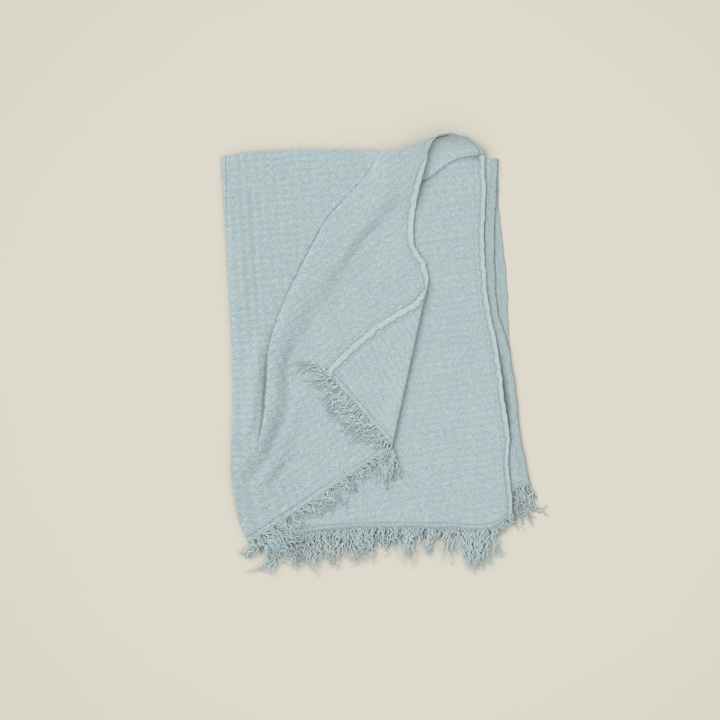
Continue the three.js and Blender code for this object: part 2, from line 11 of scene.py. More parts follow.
import bpy
import numpy as np
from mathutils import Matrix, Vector


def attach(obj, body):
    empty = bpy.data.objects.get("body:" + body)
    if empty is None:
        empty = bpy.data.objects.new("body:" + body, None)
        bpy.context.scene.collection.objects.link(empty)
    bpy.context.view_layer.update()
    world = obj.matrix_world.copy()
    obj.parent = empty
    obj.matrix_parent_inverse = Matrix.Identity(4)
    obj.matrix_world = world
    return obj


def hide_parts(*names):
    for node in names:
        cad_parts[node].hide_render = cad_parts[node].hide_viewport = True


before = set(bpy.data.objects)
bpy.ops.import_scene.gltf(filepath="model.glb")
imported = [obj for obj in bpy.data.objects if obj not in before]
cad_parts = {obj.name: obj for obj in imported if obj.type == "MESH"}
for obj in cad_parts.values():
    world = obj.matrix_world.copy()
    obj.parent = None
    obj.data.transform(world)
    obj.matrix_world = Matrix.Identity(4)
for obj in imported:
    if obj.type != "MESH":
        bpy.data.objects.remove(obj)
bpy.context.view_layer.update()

# From guides in millimetres to the throw in metres, whose box is centred
MM = 0.001
SHIFT = np.array([1.5, 3.8, 0.0])

# Cloth: its thickness, the pitch and middle of its layers, and its flat size in metres
SHEET = 2.0
PITCH = 4.5
BOTTOM_Z = SHEET / 2
THIRD_Z = BOTTOM_Z + PITCH
SECOND_Z = THIRD_Z + PITCH
TOP_Z = SECOND_Z + PITCH

# Cells of the weave, across and along the cloth, and its threads in metres
CELL = (21.0, 16.3)
THREAD = 0.0024

# Grid of the cloth: rows of each part of either pair, columns of each zone
ROWS = {"face": 150, "fold": 22, "back": 84}
COLUMNS = {
    "crease": 6, "corner": 28, "outside": 56, "pleat": 20, "inside": 26, "turn": 8, "lower": 32,
}


def table(names, *rows):
    """Rows of numbers as one named array for each column."""
    return dict(zip(names.split(), np.array(rows, float).T))


def guide(*rows):
    """A line of the throw seen from above."""
    return table("at x y", *rows)


def profile(*rows):
    """A size that changes along a guide."""
    return table("at size", *rows)


def soft_fold(height, half, *rows):
    """A soft fold: height of its ridge or trough, half its width, and its line."""
    return height, half, guide(*rows)


TOP_LEFT_FOLD = guide(
    [0, -355, 471], [0.23, -357, 266], [0.49, -348, 19], [0.65, -345, -122], [0.8, -350, -263],
    [0.93, -336, -370], [1, -311, -432],
)
PLEAT_LINE = guide(
    [0, -14, 482], [0.06, -42, 428], [0.17, -132, 327], [0.27, -183, 235], [0.37, -228, 143],
    [0.45, -256, 70], [0.51, -270, 14], [0.6, -275, -66], [0.68, -282, -141], [0.76, -296, -216],
    [0.86, -301, -310], [1, -280, -411],
)
CORNER_LINE = guide(
    [0, 85, 458], [0.113, 68, 395], [0.23, 55, 324], [0.323, 56, 266], [0.4, 81, 219],
    [0.46, 91, 186], [0.52, 94, 148], [1, 14, -212],
)
TOP_HEM = guide(
    [0, 99, 458], [0.113, 82, 395], [0.23, 70, 324], [0.323, 71, 266], [0.4, 94, 226],
    [0.46, 104, 195], [0.53, 106, 160], [0.6, 119, 118], [0.73, 166, 50], [0.887, 209, -37],
    [1, 238, -116],
)
SECOND_HEM = guide(
    [0, 235, 477], [0.125, 238, 371], [0.205, 234, 303], [0.285, 236, 235], [0.4, 244, 136],
    [0.55, 268, 14], [0.71, 285, -120], [0.77, 294, -174], [0.86, 292, -250], [0.95, 300, -325],
    [1, 301, -366],
)
SECOND_TOP = guide(
    [0, -360, 473], [0.05, -330, 480], [0.12, -288, 483], [0.45, -92, 484], [0.6, 2, 460],
    [0.75, 85, 416], [0.885, 167, 465], [1, 235, 477],
)
SECOND_FRINGE = guide(
    [0, -308, -440], [0.2, -185, -420], [0.3, -127, -412], [0.5, -2, -404], [0.75, 153, -404],
    [0.86, 225, -407], [0.94, 268, -397], [1, 301, -366],
)
TOP_EDGE = guide(
    [0, -360, 473], [0.09, -329, 480], [0.2, -291, 483], [0.6, -152, 485], [1, -14, 482],
)
LOWER_LEFT_FOLD = guide(
    [0, -377, 464], [0.23, -364, 266], [0.49, -350, 19], [0.65, -348, -122], [0.8, -350, -263],
    [0.93, -336, -370], [1, -311, -434],
)
THIRD_HEM = guide(
    [0, 266, 465], [0.12, 262, 371], [0.21, 258, 301], [0.38, 260, 176], [0.48, 268, 99],
    [0.54, 284, 54], [0.62, 297, -8], [0.74, 310, -96], [0.83, 317, -171], [0.92, 330, -240],
    [1, 342, -298],
)
THIRD_FRINGE = guide(
    [0, -311, -432], [0.3, -118, -417], [0.55, 40, -398], [0.84, 238, -340], [1, 342, -298],
)
BOTTOM_HEM = guide(
    [0, 268, 465], [0.12, 268, 371], [0.24, 277, 280], [0.37, 287, 182], [0.5, 291, 86],
    [0.6, 296, 8], [0.74, 306, -96], [0.84, 315, -171], [0.93, 330, -250], [1, 345, -308],
)
BOTTOM_FRINGE = guide(
    [0, -311, -434], [0.3, -118, -421], [0.55, 38, -404], [0.84, 238, -348], [1, 345, -308],
)

# The pleat across the top layer, from under its roll to its crest
PLEAT = table(
    "at out up flat",
    [0, -14, 0, -14], [1 / 6, 3, 0.3, -8], [2 / 6, 7, 3, -3], [3 / 6, 1, 6, 1], [4 / 6, -2, 9, 5],
    [5 / 6, 3, 12, 10], [1, 14, 13, 16],
)
PLEAT_SIZE = profile(
    [0, 0], [0.06, 0.25], [0.2, 0.6], [0.45, 0.9], [0.62, 1], [0.7, 0.8], [0.8, 0.25], [0.9, 0],
    [1, 0],
)

# How far the roll of the pleat reaches above and below REACH_FROM, where it starts to
# fall more steeply; its size from which it stands square to its line; the share of it
# that is hidden under the roll; and the lowest the top layer dips
PLEAT_REACH = (95.0, 34.0)
REACH_FROM = 0.4
REACH_EASE = 0.14
FULL_PLEAT = 0.5
HIDDEN_PLEAT = 0.4
LOWEST = -2

# Shares of a guide: the step that gives its direction, and where it is sampled
GUIDE_STEP = 0.01
SAMPLES = np.linspace(0, 1, 41)

# Soft folds: a ridge or a trough along each line, which fades in and out over SOFT_ENDS
# of its length
SOFT_ENDS = 0.25
TOP_FOLDS = [
    soft_fold(
        -9.0, 33.0,
        [0, 75, 385], [0.2, 40, 345], [0.3, 6, 308], [0.45, -66, 230], [0.6, -126, 144],
        [0.75, -181, 54], [0.85, -205, -9], [1, -240, -130],
    ),
    soft_fold(10.0, 92.0, [0, -40, 452], [0.5, 70, 450], [1, 190, 440]),
    soft_fold(4.0, 18.0, [0, -190, -60], [0.5, -250, -230], [1, -300, -340]),
    soft_fold(
        -6.0, 14.0,
        [0, -205, 60], [0.25, -222, -30], [0.5, -228, -125], [0.78, -268, -222], [1, -310, -290],
    ),
    soft_fold(4.0, 28.0, [0, 20, 385], [0.4, -55, 300], [0.7, -120, 200], [1, -185, 90]),
    soft_fold(7.0, 18.0, [0, -270, -90], [0.3, -279, -160], [0.6, -304, -215], [1, -358, -292]),
    soft_fold(-1.6, 14.0, [0, -306, 450], [0.5, -306, 250], [1, -300, 60]),
    soft_fold(9.0, 20.0, [0, -276, 95], [0.3, -296, -5], [0.6, -305, -100], [1, -325, -225]),
    soft_fold(-3.0, 9.0, [0, -318, -295], [0.5, -280, -250], [1, -235, -205]),
    soft_fold(-3.0, 9.0, [0, -290, -320], [0.5, -245, -270], [1, -195, -225]),
    soft_fold(2.5, 12.0, [0, -10, 330], [0.5, -60, 290], [1, -120, 200]),
]
SECOND_FOLDS = [
    soft_fold(-1.8, 4.0, [0, 50, 385], [0.3, 105, 427], [0.6, 167, 465], [1, 290, 480]),
]

# Painted shade on thin creases: how strong the pleat's is down the cloth, the mouth's
# and the crest's across the second layer, and the gap's beside the second layer's hem
PLEAT_CREASE = profile(
    [0, 0], [0.04, 0.5], [0.3, 0.6], [0.5, 0.5], [0.555, 0.8], [0.69, 0.8], [0.735, 0.5],
    [0.77, 0.15], [0.82, 0], [1, 0],
)
MOUTH_CREASE = profile([0, 0], [0.7, 0], [0.745, 0.8], [0.885, 0.8], [1, 1])
CREST_CREASE = profile([0, 0], [0.6, 0], [0.7, 0.3], [0.85, 0.75], [0.93, 1.1], [1, 1.2])
GAP_CREASE = profile(
    [0, 0.3], [0.2, 0.5], [0.5, 0.55], [0.58, 0.9], [0.72, 1], [0.85, 0.6], [1, 0.5],
)

# The corner turned back: the crease runs from the hem to the fringe
CREASE_TOP = np.array([103.0, 195.0])
CREASE_END = np.array([14.0, -212.0])
CREASE_RADIUS = 3.5
CORNER_SETTLE = 45.0
TURN = math.pi * CREASE_RADIUS
LEAST_SLANT = 0.3

# Width of the turned corner where it holds only the hem, and the width it grows by
# before its steps are those of a crease
HEM_ONLY = 22.0
HEM_ONLY_EASE = 50.0

# How far a flat fold reaches past its layers before it turns, in fold radii, and the
# ways the top fold and the left fold face
FOLD_REACH = 4 / 3
AWAY = np.array([0.0, 1.0, 0.0])
LEFT = np.array([-1.0, 0.0, 0.0])

# The open end of the top fold: how much further than a flat fold the cloth reaches from
# the top layer and from the second, across from the left fold to the hem. "lag" holds
# the steps back on the second layer's side.
OPEN_FOLD = table(
    "at topX topY topZ secondX secondY secondZ lag",
    [0, 0, 0, 0, 0, 0, 0, 0], [0.6, 0, 0, 0, 0, 0, 0, 0], [0.664, -3, 6, 4, -12, 0, 0, 0],
    [0.75, -5, 24, 8, -28, 8, 2, 0.1], [0.885, -2, 54, 10, -21, 24, 6, 0.3],
    [0.977, 9, 88, 16, 9, 11, 20, 0.5], [1, 5, 93, 30, 3, 15, 38, 0.5],
)

# Places across the upper pair, as shares of the second layer from its left fold, and
# how much closer the columns and rows stand towards the folds and the hem
PLEAT_SHARE = (0.56, 0.6)
HEM_SHARE = 0.977
FOLD_CROWDING = 1.6
HEM_CROWDING = 1.4
ROW_CROWDING = 1.5

# Lean of the weave's rows and of its columns in each part of the cloth, in degrees, and
# where the pleat runs out: there the weave of its left side passes into that of its
# right side over SEAM_WIDTH, from SEAM_END down over SEAM_EASE of the layer
LEFT_LEAN = (6, 94)
RIGHT_LEAN = (36, 113)
SECOND_LEAN = (8, 98)
LOWER_LEAN = (2, 92)
APEX = np.array([-287.0, -216.0])
SEAM_WIDTH = 170.0
SEAM_END = 0.72
SEAM_EASE = 0.12

# The pleat's crease lies this far under its line, and the crest is looked for from this
# many rows before the middle of the top fold
CREASE_GAP = 1.0
CREST_ROWS = 6

# Hems: rows, width, both thicknesses, places round half a section and the powers that
# square it, how far a hem stands past the cloth's edge, the lower layers' width, the
# groove of the stitches, and the least height over the floor
HEM_GRID = {"face": 190, "fold": 40, "back": 190}
HEM_WIDTH = 17.0
UPPER_HEM = 3.0
LOWER_HEM = 2.5
HEM_SECTION = 11
HEM_SQUARING = (0.6, 0.35)
HEM_PAST_EDGE = 0.4
LOWER_WIDTH = 640.0
GROOVE_IN = 2.4
GROOVE_DEPTH = 0.45
CLEAR = 0.05

# Ripples of a hem: longest and shortest wave, number of waves, and height, first as a
# share of its width, then of its line in millimetres, and as a share of its thickness
WIDTH_RIPPLES = (110, 16, 6, 0.14)
LINE_RIPPLES = (90, 14, 6, 1.1)
WRINKLES = (26, 9, 5, 0.16)

# Rows before the top fold where a hem starts to narrow, and over how many rows it
# narrows, widens again at the fold's end, and takes its width on the back layer
PINCH_BEFORE = 12
PINCH_ROWS = (20, 6)
BACK_ROWS = 12


def mix(a, b, share):
    """a + (b - a) * share."""
    return a + (b - a) * share


def smooth(value):
    """3 v^2 - 2 v^3 of the value held between 0 and 1."""
    v = np.clip(value, 0, 1)
    return v * v * (3 - 2 * v)


def unit(vectors):
    """Each vector over its own length."""
    return vectors / np.maximum(np.linalg.norm(vectors, axis=-1, keepdims=True), 1e-9)


def left_of(way):
    """A direction seen from above, turned a quarter to the left."""
    return np.stack([-way[..., 1], way[..., 0]], -1)


def with_height(plan, high):
    """Places from a plan and its heights, or from a plan at one height."""
    return np.concatenate([plan, np.broadcast_to(high, plan.shape[:-1])[..., None]], -1)


def follow(rows, at, key):
    """A table's column at "at": a cubic Hermite curve whose slope at a row is that of
    the line between its neighbours, or 0 where a neighbour has the same value."""
    x, y = rows["at"], rows[key]
    row = np.arange(len(x))
    before, after = np.maximum(row - 1, 0), np.minimum(row + 1, row[-1])
    slope = (y[after] - y[before]) / (x[after] - x[before])
    level = np.zeros(len(x), bool)
    level[1:] |= y[1:] == y[:-1]
    level[:-1] |= y[:-1] == y[1:]
    slope[level] = 0
    at = np.asarray(at, float)
    i = np.searchsorted(x[1:-1], at, side="left")
    span, rise = x[i + 1] - x[i], y[i + 1] - y[i]
    u = (at - x[i]) / span
    bend = (1 - u) * (span * slope[i] - rise) - u * (span * slope[i + 1] - rise)
    return y[i] + u * rise + u * (1 - u) * bend


def point(rows, at):
    """The place x, y on a guide."""
    return np.stack([follow(rows, at, "x"), follow(rows, at, "y")], -1)


def bow(rows, at):
    """A guide's place less that of the straight line between its ends."""
    at = np.asarray(at, float)
    ends = np.stack([rows["x"], rows["y"]], -1)
    return point(rows, at) - mix(ends[0], ends[-1], at[..., None])


def layer_plan(left, hem, top, fringe, across, down):
    """Left fold to hem by "across" at the same "down", plus the top line's bow fading
    down the layer and the fringe line's bow growing down it."""
    place = mix(point(left, down), point(hem, down), across[..., None])
    if top is not None:
        place = place + bow(top, across) * (1 - down)[..., None]
    return place + bow(fringe, across) * down[..., None]


def pleat_place(share, down):
    """A place on the rolled side of the pleat, its height and its flat distance: the
    pleat line plus "out" along the way across it, or along the weft where it runs out."""
    share, down = np.broadcast_arrays(np.asarray(share, float), np.asarray(down, float))
    line = point(PLEAT_LINE, down)
    ends = np.minimum(down + GUIDE_STEP, 1), np.maximum(down - GUIDE_STEP, 0)
    run = point(PLEAT_LINE, ends[0]) - point(PLEAT_LINE, ends[1])
    over = unit(left_of(run))
    weft = unit(point(CORNER_LINE, down) - line)
    size = np.maximum(0, follow(PLEAT_SIZE, down, "size"))
    right = unit(mix(weft, over, np.minimum(1, size / FULL_PLEAT)[..., None]))
    flat = follow(PLEAT, share, "flat")
    out = mix(flat, follow(PLEAT, share, "out"), size)
    rolled, pressed = (line + right * far[..., None] for far in (out, flat))
    return rolled, follow(PLEAT, share, "up") * size, pressed


def nearest(line, places, values=None):
    """For each place the distance to a sampled line, the share along it there, the side
    (left is above 0), and the value carried along the line."""
    run = np.diff(line, axis=0)
    best = np.full(places.shape[:-1], np.inf)
    at, side, value = np.zeros((3,) + best.shape)
    for k, (start, r) in enumerate(zip(line, run)):
        to = places - start
        u = np.clip((to @ r) / (r @ r), 0, 1)
        gap = np.linalg.norm(to - u[..., None] * r, axis=-1)
        closer = gap < best
        best = np.where(closer, gap, best)
        at = np.where(closer, (k + u) / len(run), at)
        side = np.where(closer, r[0] * to[..., 1] - r[1] * to[..., 0], side)
        if values is not None:
            value = np.where(closer, mix(values[k], values[k + 1], u), value)
    return best, at, side, value


CREST_LINE, CREST_UP, _ = pleat_place(1.0, SAMPLES)


def soft_folds(folds, places):
    """Sum over the folds of high * ends * exp(-(distance / half)^2), where "ends" fades
    each fold out over SOFT_ENDS of its line at either end."""
    high = np.zeros(places.shape[:-1])
    for height, half, line in folds:
        distance, at, _, _ = nearest(point(line, SAMPLES), places)
        ends = smooth(at / SOFT_ENDS), smooth((1 - at) / SOFT_ENDS)
        high += height * ends[0] * ends[1] * np.exp(-((distance / half) ** 2))
    return high


def swell(places, pleat=None):
    """Height of the top layer over its flat level: the pleat's own height, or right of
    its crest the crest's height fading as exp(-(distance / reach)^2), plus soft folds.
    The reach is shorter further down, where the roll falls more steeply."""
    distance, at, side, up = nearest(CREST_LINE, places, CREST_UP)
    reach = mix(*PLEAT_REACH, smooth((at - REACH_FROM) / REACH_EASE))
    high = np.where(side > 0, up * np.exp(-((distance / reach) ** 2)), 0)
    if pleat is not None:
        high = np.where(np.isnan(pleat), high, pleat)
    return np.maximum(LOWEST, high + soft_folds(TOP_FOLDS, places))


CREASE_OUT = left_of(unit(CREASE_END - CREASE_TOP))


def turn_back(places):
    """Cloth beyond the crease goes half way round it, x' = r sin(arc / r), and then back
    over itself, where it settles onto the cloth below. Gives the places and heights."""
    beyond = (places - CREASE_TOP) @ CREASE_OUT
    arc = np.clip(beyond, 0, TURN)
    angle = arc / CREASE_RADIUS
    past = np.maximum(beyond, 0) - arc
    shift = CREASE_RADIUS * np.sin(angle) - past - np.maximum(beyond, 0)
    settle = (2 * CREASE_RADIUS - PITCH) * smooth(past / CORNER_SETTLE) * (past > 0)
    return places + CREASE_OUT * shift[..., None], CREASE_RADIUS * (1 - np.cos(angle)) - settle


def on_top_layer(places, pleat=None):
    """Middle of the top layer over a place before the corner is turned back."""
    turned, up = turn_back(places)
    return with_height(turned, TOP_Z + swell(turned, pleat) + up)


def across_fold(face, back, out, turn, more=(0, 0)):
    """Cubic Bezier curve from one layer to the other, leaving both towards "out". Both
    ends reach one line, and 4/3 of the fold's radius beyond it, plus what "more" adds."""
    rounded = FOLD_REACH * np.abs(face[..., 2] - back[..., 2]) / 2
    ahead = (back - face) @ out
    face_end = face + (rounded + np.maximum(0, ahead))[..., None] * out + more[0]
    back_end = back + (rounded + np.maximum(0, -ahead))[..., None] * out + more[1]
    t = turn[..., None]
    ends = (1 - t) ** 3 * face, 3 * (1 - t) ** 2 * t * face_end
    return ends[0] + ends[1] + 3 * (1 - t) * t**2 * back_end + t**3 * back


INNER_LEFT_FOLD = {key: (TOP_LEFT_FOLD[key] + LOWER_LEFT_FOLD[key]) / 2 for key in ("at", "x", "y")}
SECOND = (INNER_LEFT_FOLD, SECOND_HEM, SECOND_TOP, SECOND_FRINGE)
THIRD = (INNER_LEFT_FOLD, THIRD_HEM, None, THIRD_FRINGE)
BOTTOM = (LOWER_LEFT_FOLD, BOTTOM_HEM, None, BOTTOM_FRINGE)


def flat_layer(layer, across, down, level):
    """Middle of a layer that lies flat: its plan at one height."""
    return with_height(layer_plan(*layer, *np.broadcast_arrays(across, down)), level)


def face_downs(count):
    """Rows from the fringe up to the top fold."""
    return np.linspace(1, 0, count + 1)[:, None]


def back_downs(count):
    """Rows from the top fold down, closer to one another near the fold."""
    return np.linspace(0, 1, count + 1)[:, None] ** ROW_CROWDING


def inner_turns(count):
    """Even steps round a fold, without its ends."""
    return np.linspace(0, 1, count + 1)[1:-1]


def upper_pair(top, across, rows):
    """Rows of the upper pair: the top layer up to the top fold, the fold, which opens
    towards the hem, and the second layer down to its fringe. "top" gives the top layer's
    plan and pleat height at a "down", "across" the share across the second layer."""
    zero = np.zeros((1, 1))
    edge = on_top_layer(*top(zero))
    back_edge = flat_layer(SECOND, across(zero), zero, SECOND_Z)
    opening = {key: follow(OPEN_FOLD, across(zero), key) for key in OPEN_FOLD}
    more = [np.stack([opening[side + axis] for axis in "XYZ"], -1) for side in ("top", "second")]
    turn = inner_turns(rows["fold"])[:, None] ** (1 + opening["lag"])
    face = on_top_layer(*top(face_downs(rows["face"])))
    fold = across_fold(edge, back_edge, AWAY, turn, more)
    down = back_downs(rows["back"])
    back = flat_layer(SECOND, across(down), down, SECOND_Z)
    back[..., 2] += soft_folds(SECOND_FOLDS, back[..., :2])
    return np.concatenate([face, fold, back])


def lower_pair(across, rows):
    """Rows of the lower pair: the bottom layer, its top fold and the third layer."""

    def layers(*downs):
        """The bottom layer at the first rows given and the third at the last."""
        sides = zip((BOTTOM, THIRD), (downs[0], downs[-1]), (BOTTOM_Z, THIRD_Z))
        return [flat_layer(layer, across(down), down, level) for layer, down, level in sides]

    face, back = layers(face_downs(rows["face"]), back_downs(rows["back"]))
    ends = layers(np.zeros((1, 1)))
    turn = np.broadcast_to(inner_turns(rows["fold"])[:, None], (rows["fold"] - 1, ends[0].shape[1]))
    return np.concatenate([face, across_fold(*ends, AWAY, turn), back])


def cloth_columns():
    """Shares of each zone of the upper pair, from the hem to the left fold, and the
    share across the second layer that each column comes to."""
    steps = COLUMNS["crease"] + COLUMNS["corner"]
    corner = np.arange(steps, 0, -1)
    outside = np.arange(COLUMNS["outside"], 0, -1) / COLUMNS["outside"]
    pleat = np.linspace(1, 0, COLUMNS["pleat"] + 1)
    inside = np.arange(COLUMNS["inside"] - 1, -1, -1) / COLUMNS["inside"]
    inside = 1 - (1 - inside) ** FOLD_CROWDING
    second = np.concatenate([
        mix(HEM_SHARE, 1, corner / steps),
        mix(PLEAT_SHARE[1], HEM_SHARE, 1 - (1 - outside) ** HEM_CROWDING),
        mix(*PLEAT_SHARE, pleat),
        PLEAT_SHARE[0] * inside,
    ])
    zones = {"corner": corner, "outside": outside, "pleat": pleat, "inside": inside}
    return zones | {"second": second}


def corner_share(step, width, slant):
    """Shares across the turned corner: close steps round the crease, then even ones to
    the hem's edge. Where only the hem is left, all steps are even."""
    steps, near = COLUMNS["crease"] + COLUMNS["corner"], COLUMNS["crease"]
    rounded = TURN / slant / width
    past = mix(rounded, 1, (step - near) / (steps - near))
    wide = np.where(step <= near, rounded * step / near, past)
    return mix(step / steps, wide, smooth((width - HEM_ONLY) / HEM_ONLY_EASE))


CLOTH = cloth_columns()


def cloth_plan(down):
    """The top layer's plan, pleat heights (not a number where the crest decides) and
    the plan with the pleat pressed flat, zone by zone."""
    line = point(CORNER_LINE, down)
    run = point(TOP_HEM, down) - line
    width = np.linalg.norm(run, axis=-1)
    slant = np.maximum(LEAST_SLANT, run @ CREASE_OUT / width)
    corner = line + run * corner_share(CLOTH["corner"], width, slant)[..., None]
    outside = mix(pleat_place(1.0, down)[0], line, CLOTH["outside"][:, None])
    pleat, up, flat = pleat_place(CLOTH["pleat"], down)
    inside = mix(point(TOP_LEFT_FOLD, down), pleat_place(0.0, down)[0], CLOTH["inside"][:, None])
    inside = inside + bow(TOP_EDGE, CLOTH["inside"]) * (1 - down)[..., None]
    free = np.full((len(down), corner.shape[1] + outside.shape[1]), np.nan)
    heights = np.concatenate([free, up, np.zeros(inside.shape[:2])], 1)
    plan, pressed = (np.concatenate([corner, outside, part, inside], 1) for part in (pleat, flat))
    return plan, heights, pressed


def arcs(grid, axis):
    """Arc length along one axis of a grid of places, from its first row or column."""
    steps = np.linalg.norm(np.diff(grid, axis=axis), axis=-1)
    return np.concatenate([np.zeros_like(np.take(steps, [0], axis)), np.cumsum(steps, axis)], axis)


def on_weave(places, leans):
    """Distances along the weave's rows and columns, which lean, for places on it."""
    a, b = np.radians(leans)
    ways = np.array([[math.cos(a), math.cos(b)], [math.sin(a), math.sin(b)]])
    return places @ np.linalg.inv(ways).T


def top_weave():
    """Places on the weave of the top layer, first with those left of the pleat, then
    with those right of it. Below the pleat's end the two pass into each other."""
    down = face_downs(ROWS["face"])
    flat = cloth_plan(down)[2]
    distance, _, side, _ = nearest(point(PLEAT_LINE, SAMPLES), flat)
    broad = smooth(0.5 + np.sign(side) * distance / SEAM_WIDTH)
    merged = smooth((down - SEAM_END) / SEAM_EASE)
    ends = [on_weave(flat - APEX, leans) for leans in (LEFT_LEAN, RIGHT_LEAN)]
    return [mix(*ends, mix(own, broad, merged)[..., None]) for own in (0.0, 1.0)]


def new_mesh(name, places, faces, maps):
    """A smooth mesh from places in millimetres and groups of faces, one array for each
    number of corners, with UV maps given for each corner of each face."""
    mesh = bpy.data.meshes.new(name)
    corners = np.concatenate([group.ravel() for group in faces])
    sizes = np.repeat([group.shape[1] for group in faces], [len(group) for group in faces])
    starts = np.cumsum(sizes) - sizes
    mesh.vertices.add(len(places))
    mesh.vertices.foreach_set("co", ((places + SHIFT) * MM).astype(np.float32).ravel())
    mesh.loops.add(len(corners))
    mesh.loops.foreach_set("vertex_index", corners.astype(np.int32))
    mesh.polygons.add(len(starts))
    mesh.polygons.foreach_set("loop_start", starts.astype(np.int32))
    mesh.update(calc_edges=True)
    mesh.validate()
    for map_name, values in maps:
        mesh.uv_layers.new(name=map_name).data.foreach_set("uv", values.astype(np.float32).ravel())
    mesh.shade_smooth()
    return mesh


def grid_mesh(name, outer, inner, weave, vertex_maps):
    """A closed shell: two grids of places, their quads, and the rim between them. The
    weave is given for each corner of each cell, the other maps for each vertex."""
    tall, wide = outer.shape[:2]
    count = tall * wide
    a = (np.arange(tall - 1)[:, None] * wide + np.arange(wide - 1)).ravel()
    top = np.stack([a, a + wide, a + wide + 1, a + 1], -1)
    low = top[:, [0, 3, 2, 1]] + count
    j, i = np.arange(wide - 1), np.arange(tall - 1) * wide
    last = (tall - 1) * wide
    pairs = np.concatenate([
        np.stack([j, j + 1], -1),
        np.stack([last + j + 1, last + j], -1),
        np.stack([i + wide, i], -1),
        np.stack([i + wide - 1, i + 2 * wide - 1], -1),
    ])
    rim = np.concatenate([pairs, pairs[:, ::-1] + count], 1)
    faces = np.concatenate([top, low, rim])
    corners = weave.reshape(-1, 4, 2)
    flipped = corners[:, [0, 3, 2, 1]]
    maps = [("Weave", np.concatenate([corners, flipped, np.zeros((len(rim), 4, 2))]))]
    for map_name, vertices in vertex_maps:
        maps.append((map_name, np.tile(vertices.reshape(-1, 2), (2, 1))[faces]))
    places = np.concatenate([outer.reshape(-1, 3), inner.reshape(-1, 3)])
    return new_mesh(name, places, [faces], maps)


def add_piece(mesh, material, slot, *nodes):
    """An object for the mesh at the origin, riding on the throw's one body."""
    piece = bpy.data.objects.new(mesh.name, mesh)
    bpy.context.scene.collection.objects.link(piece)
    mesh.materials.append(material)
    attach(piece, "root")
    if nodes:
        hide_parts(*nodes)
    return piece


def grid_normals(grid):
    """Cross product of the steps along the rows and the columns."""
    return unit(np.cross(np.gradient(grid, axis=0), np.gradient(grid, axis=1)))


def cloth_mesh():
    """The whole cloth: a grid of the upper pair, the left fold and the lower pair, half
    the sheet's thickness out to either side of its middle."""
    upper = upper_pair(lambda down: cloth_plan(down)[:2], lambda down: CLOTH["second"][None], ROWS)
    shares = np.linspace(0, 1, COLUMNS["lower"] + 1)[None, :]
    lower = lower_pair(lambda down: shares, ROWS)
    turns = np.broadcast_to(inner_turns(COLUMNS["turn"]), (len(upper), COLUMNS["turn"] - 1))
    turn = across_fold(upper[:, -1:], lower[:, :1], LEFT, turns)
    grid = np.concatenate([upper, turn, lower], 1)
    normals = grid_normals(grid) * SHEET / 2

    # Distances from the hem and from the fringe, whichever end is nearer
    across, along = arcs(grid, 1), arcs(grid, 0)
    edges = np.minimum(across, across[:, -1:] - across), np.minimum(along, along[-1:] - along)

    crease, crest = crease_lines(grid, along)
    weave = weave_cells(grid, across, along)
    vertex_maps = [("Edges", np.stack(edges, -1) * MM), ("Crease", crease), ("Crest", crest)]
    return grid_mesh("throw_cloth", grid + normals, grid - normals, weave * MM, vertex_maps)


def crease_lines(grid, along):
    """For each vertex the signed distance to the crease nearest to it, in metres, and how
    strong the shade painted along it is: one map for the pleat, the mouth and the gap,
    and one for the crest, which is where the opened top fold reaches furthest up."""
    face = ROWS["face"] + 1
    back = face + ROWS["fold"] - 1
    upper = len(CLOTH["second"])
    lower = upper + COLUMNS["turn"] - 1
    crease, crest = np.zeros((2,) + grid.shape[:2] + (2,))

    # The pleat, on the top layer
    distance, _, side, _ = nearest(point(PLEAT_LINE, SAMPLES), grid[:face, :upper, :2])
    crease[:face, :upper, 0] = (-np.sign(side) * distance - CREASE_GAP) * MM
    crease[:face, :upper, 1] = follow(PLEAT_CREASE, face_downs(ROWS["face"]), "size")

    # The mouth of the top fold, and its crest
    middle = face + ROWS["fold"] // 2
    crease[middle:, :upper, 0] = (along[middle:, :upper] - along[back, :upper]) * MM
    crease[middle:, :upper, 1] = follow(MOUTH_CREASE, CLOTH["second"], "size")
    start = middle - CREST_ROWS
    top = start + np.argmax(grid[start:back, :upper, 1], axis=0)
    at_top = np.take_along_axis(along[:, :upper], top[None], 0)
    crest[:, :upper, 0] = (along[:, :upper] - at_top) * MM
    crest[face:, :upper, 1] = follow(CREST_CREASE, CLOTH["second"], "size")

    # The gap beside the second layer's hem, on the third layer, where shade is painted
    distance, at, side, _ = nearest(point(SECOND_HEM, SAMPLES), grid[back:, lower:, :2])
    crease[back:, lower:, 0] = np.sign(side) * distance * MM
    crease[back:, lower:, 1] = follow(GAP_CREASE, at, "size")
    return crease, crest


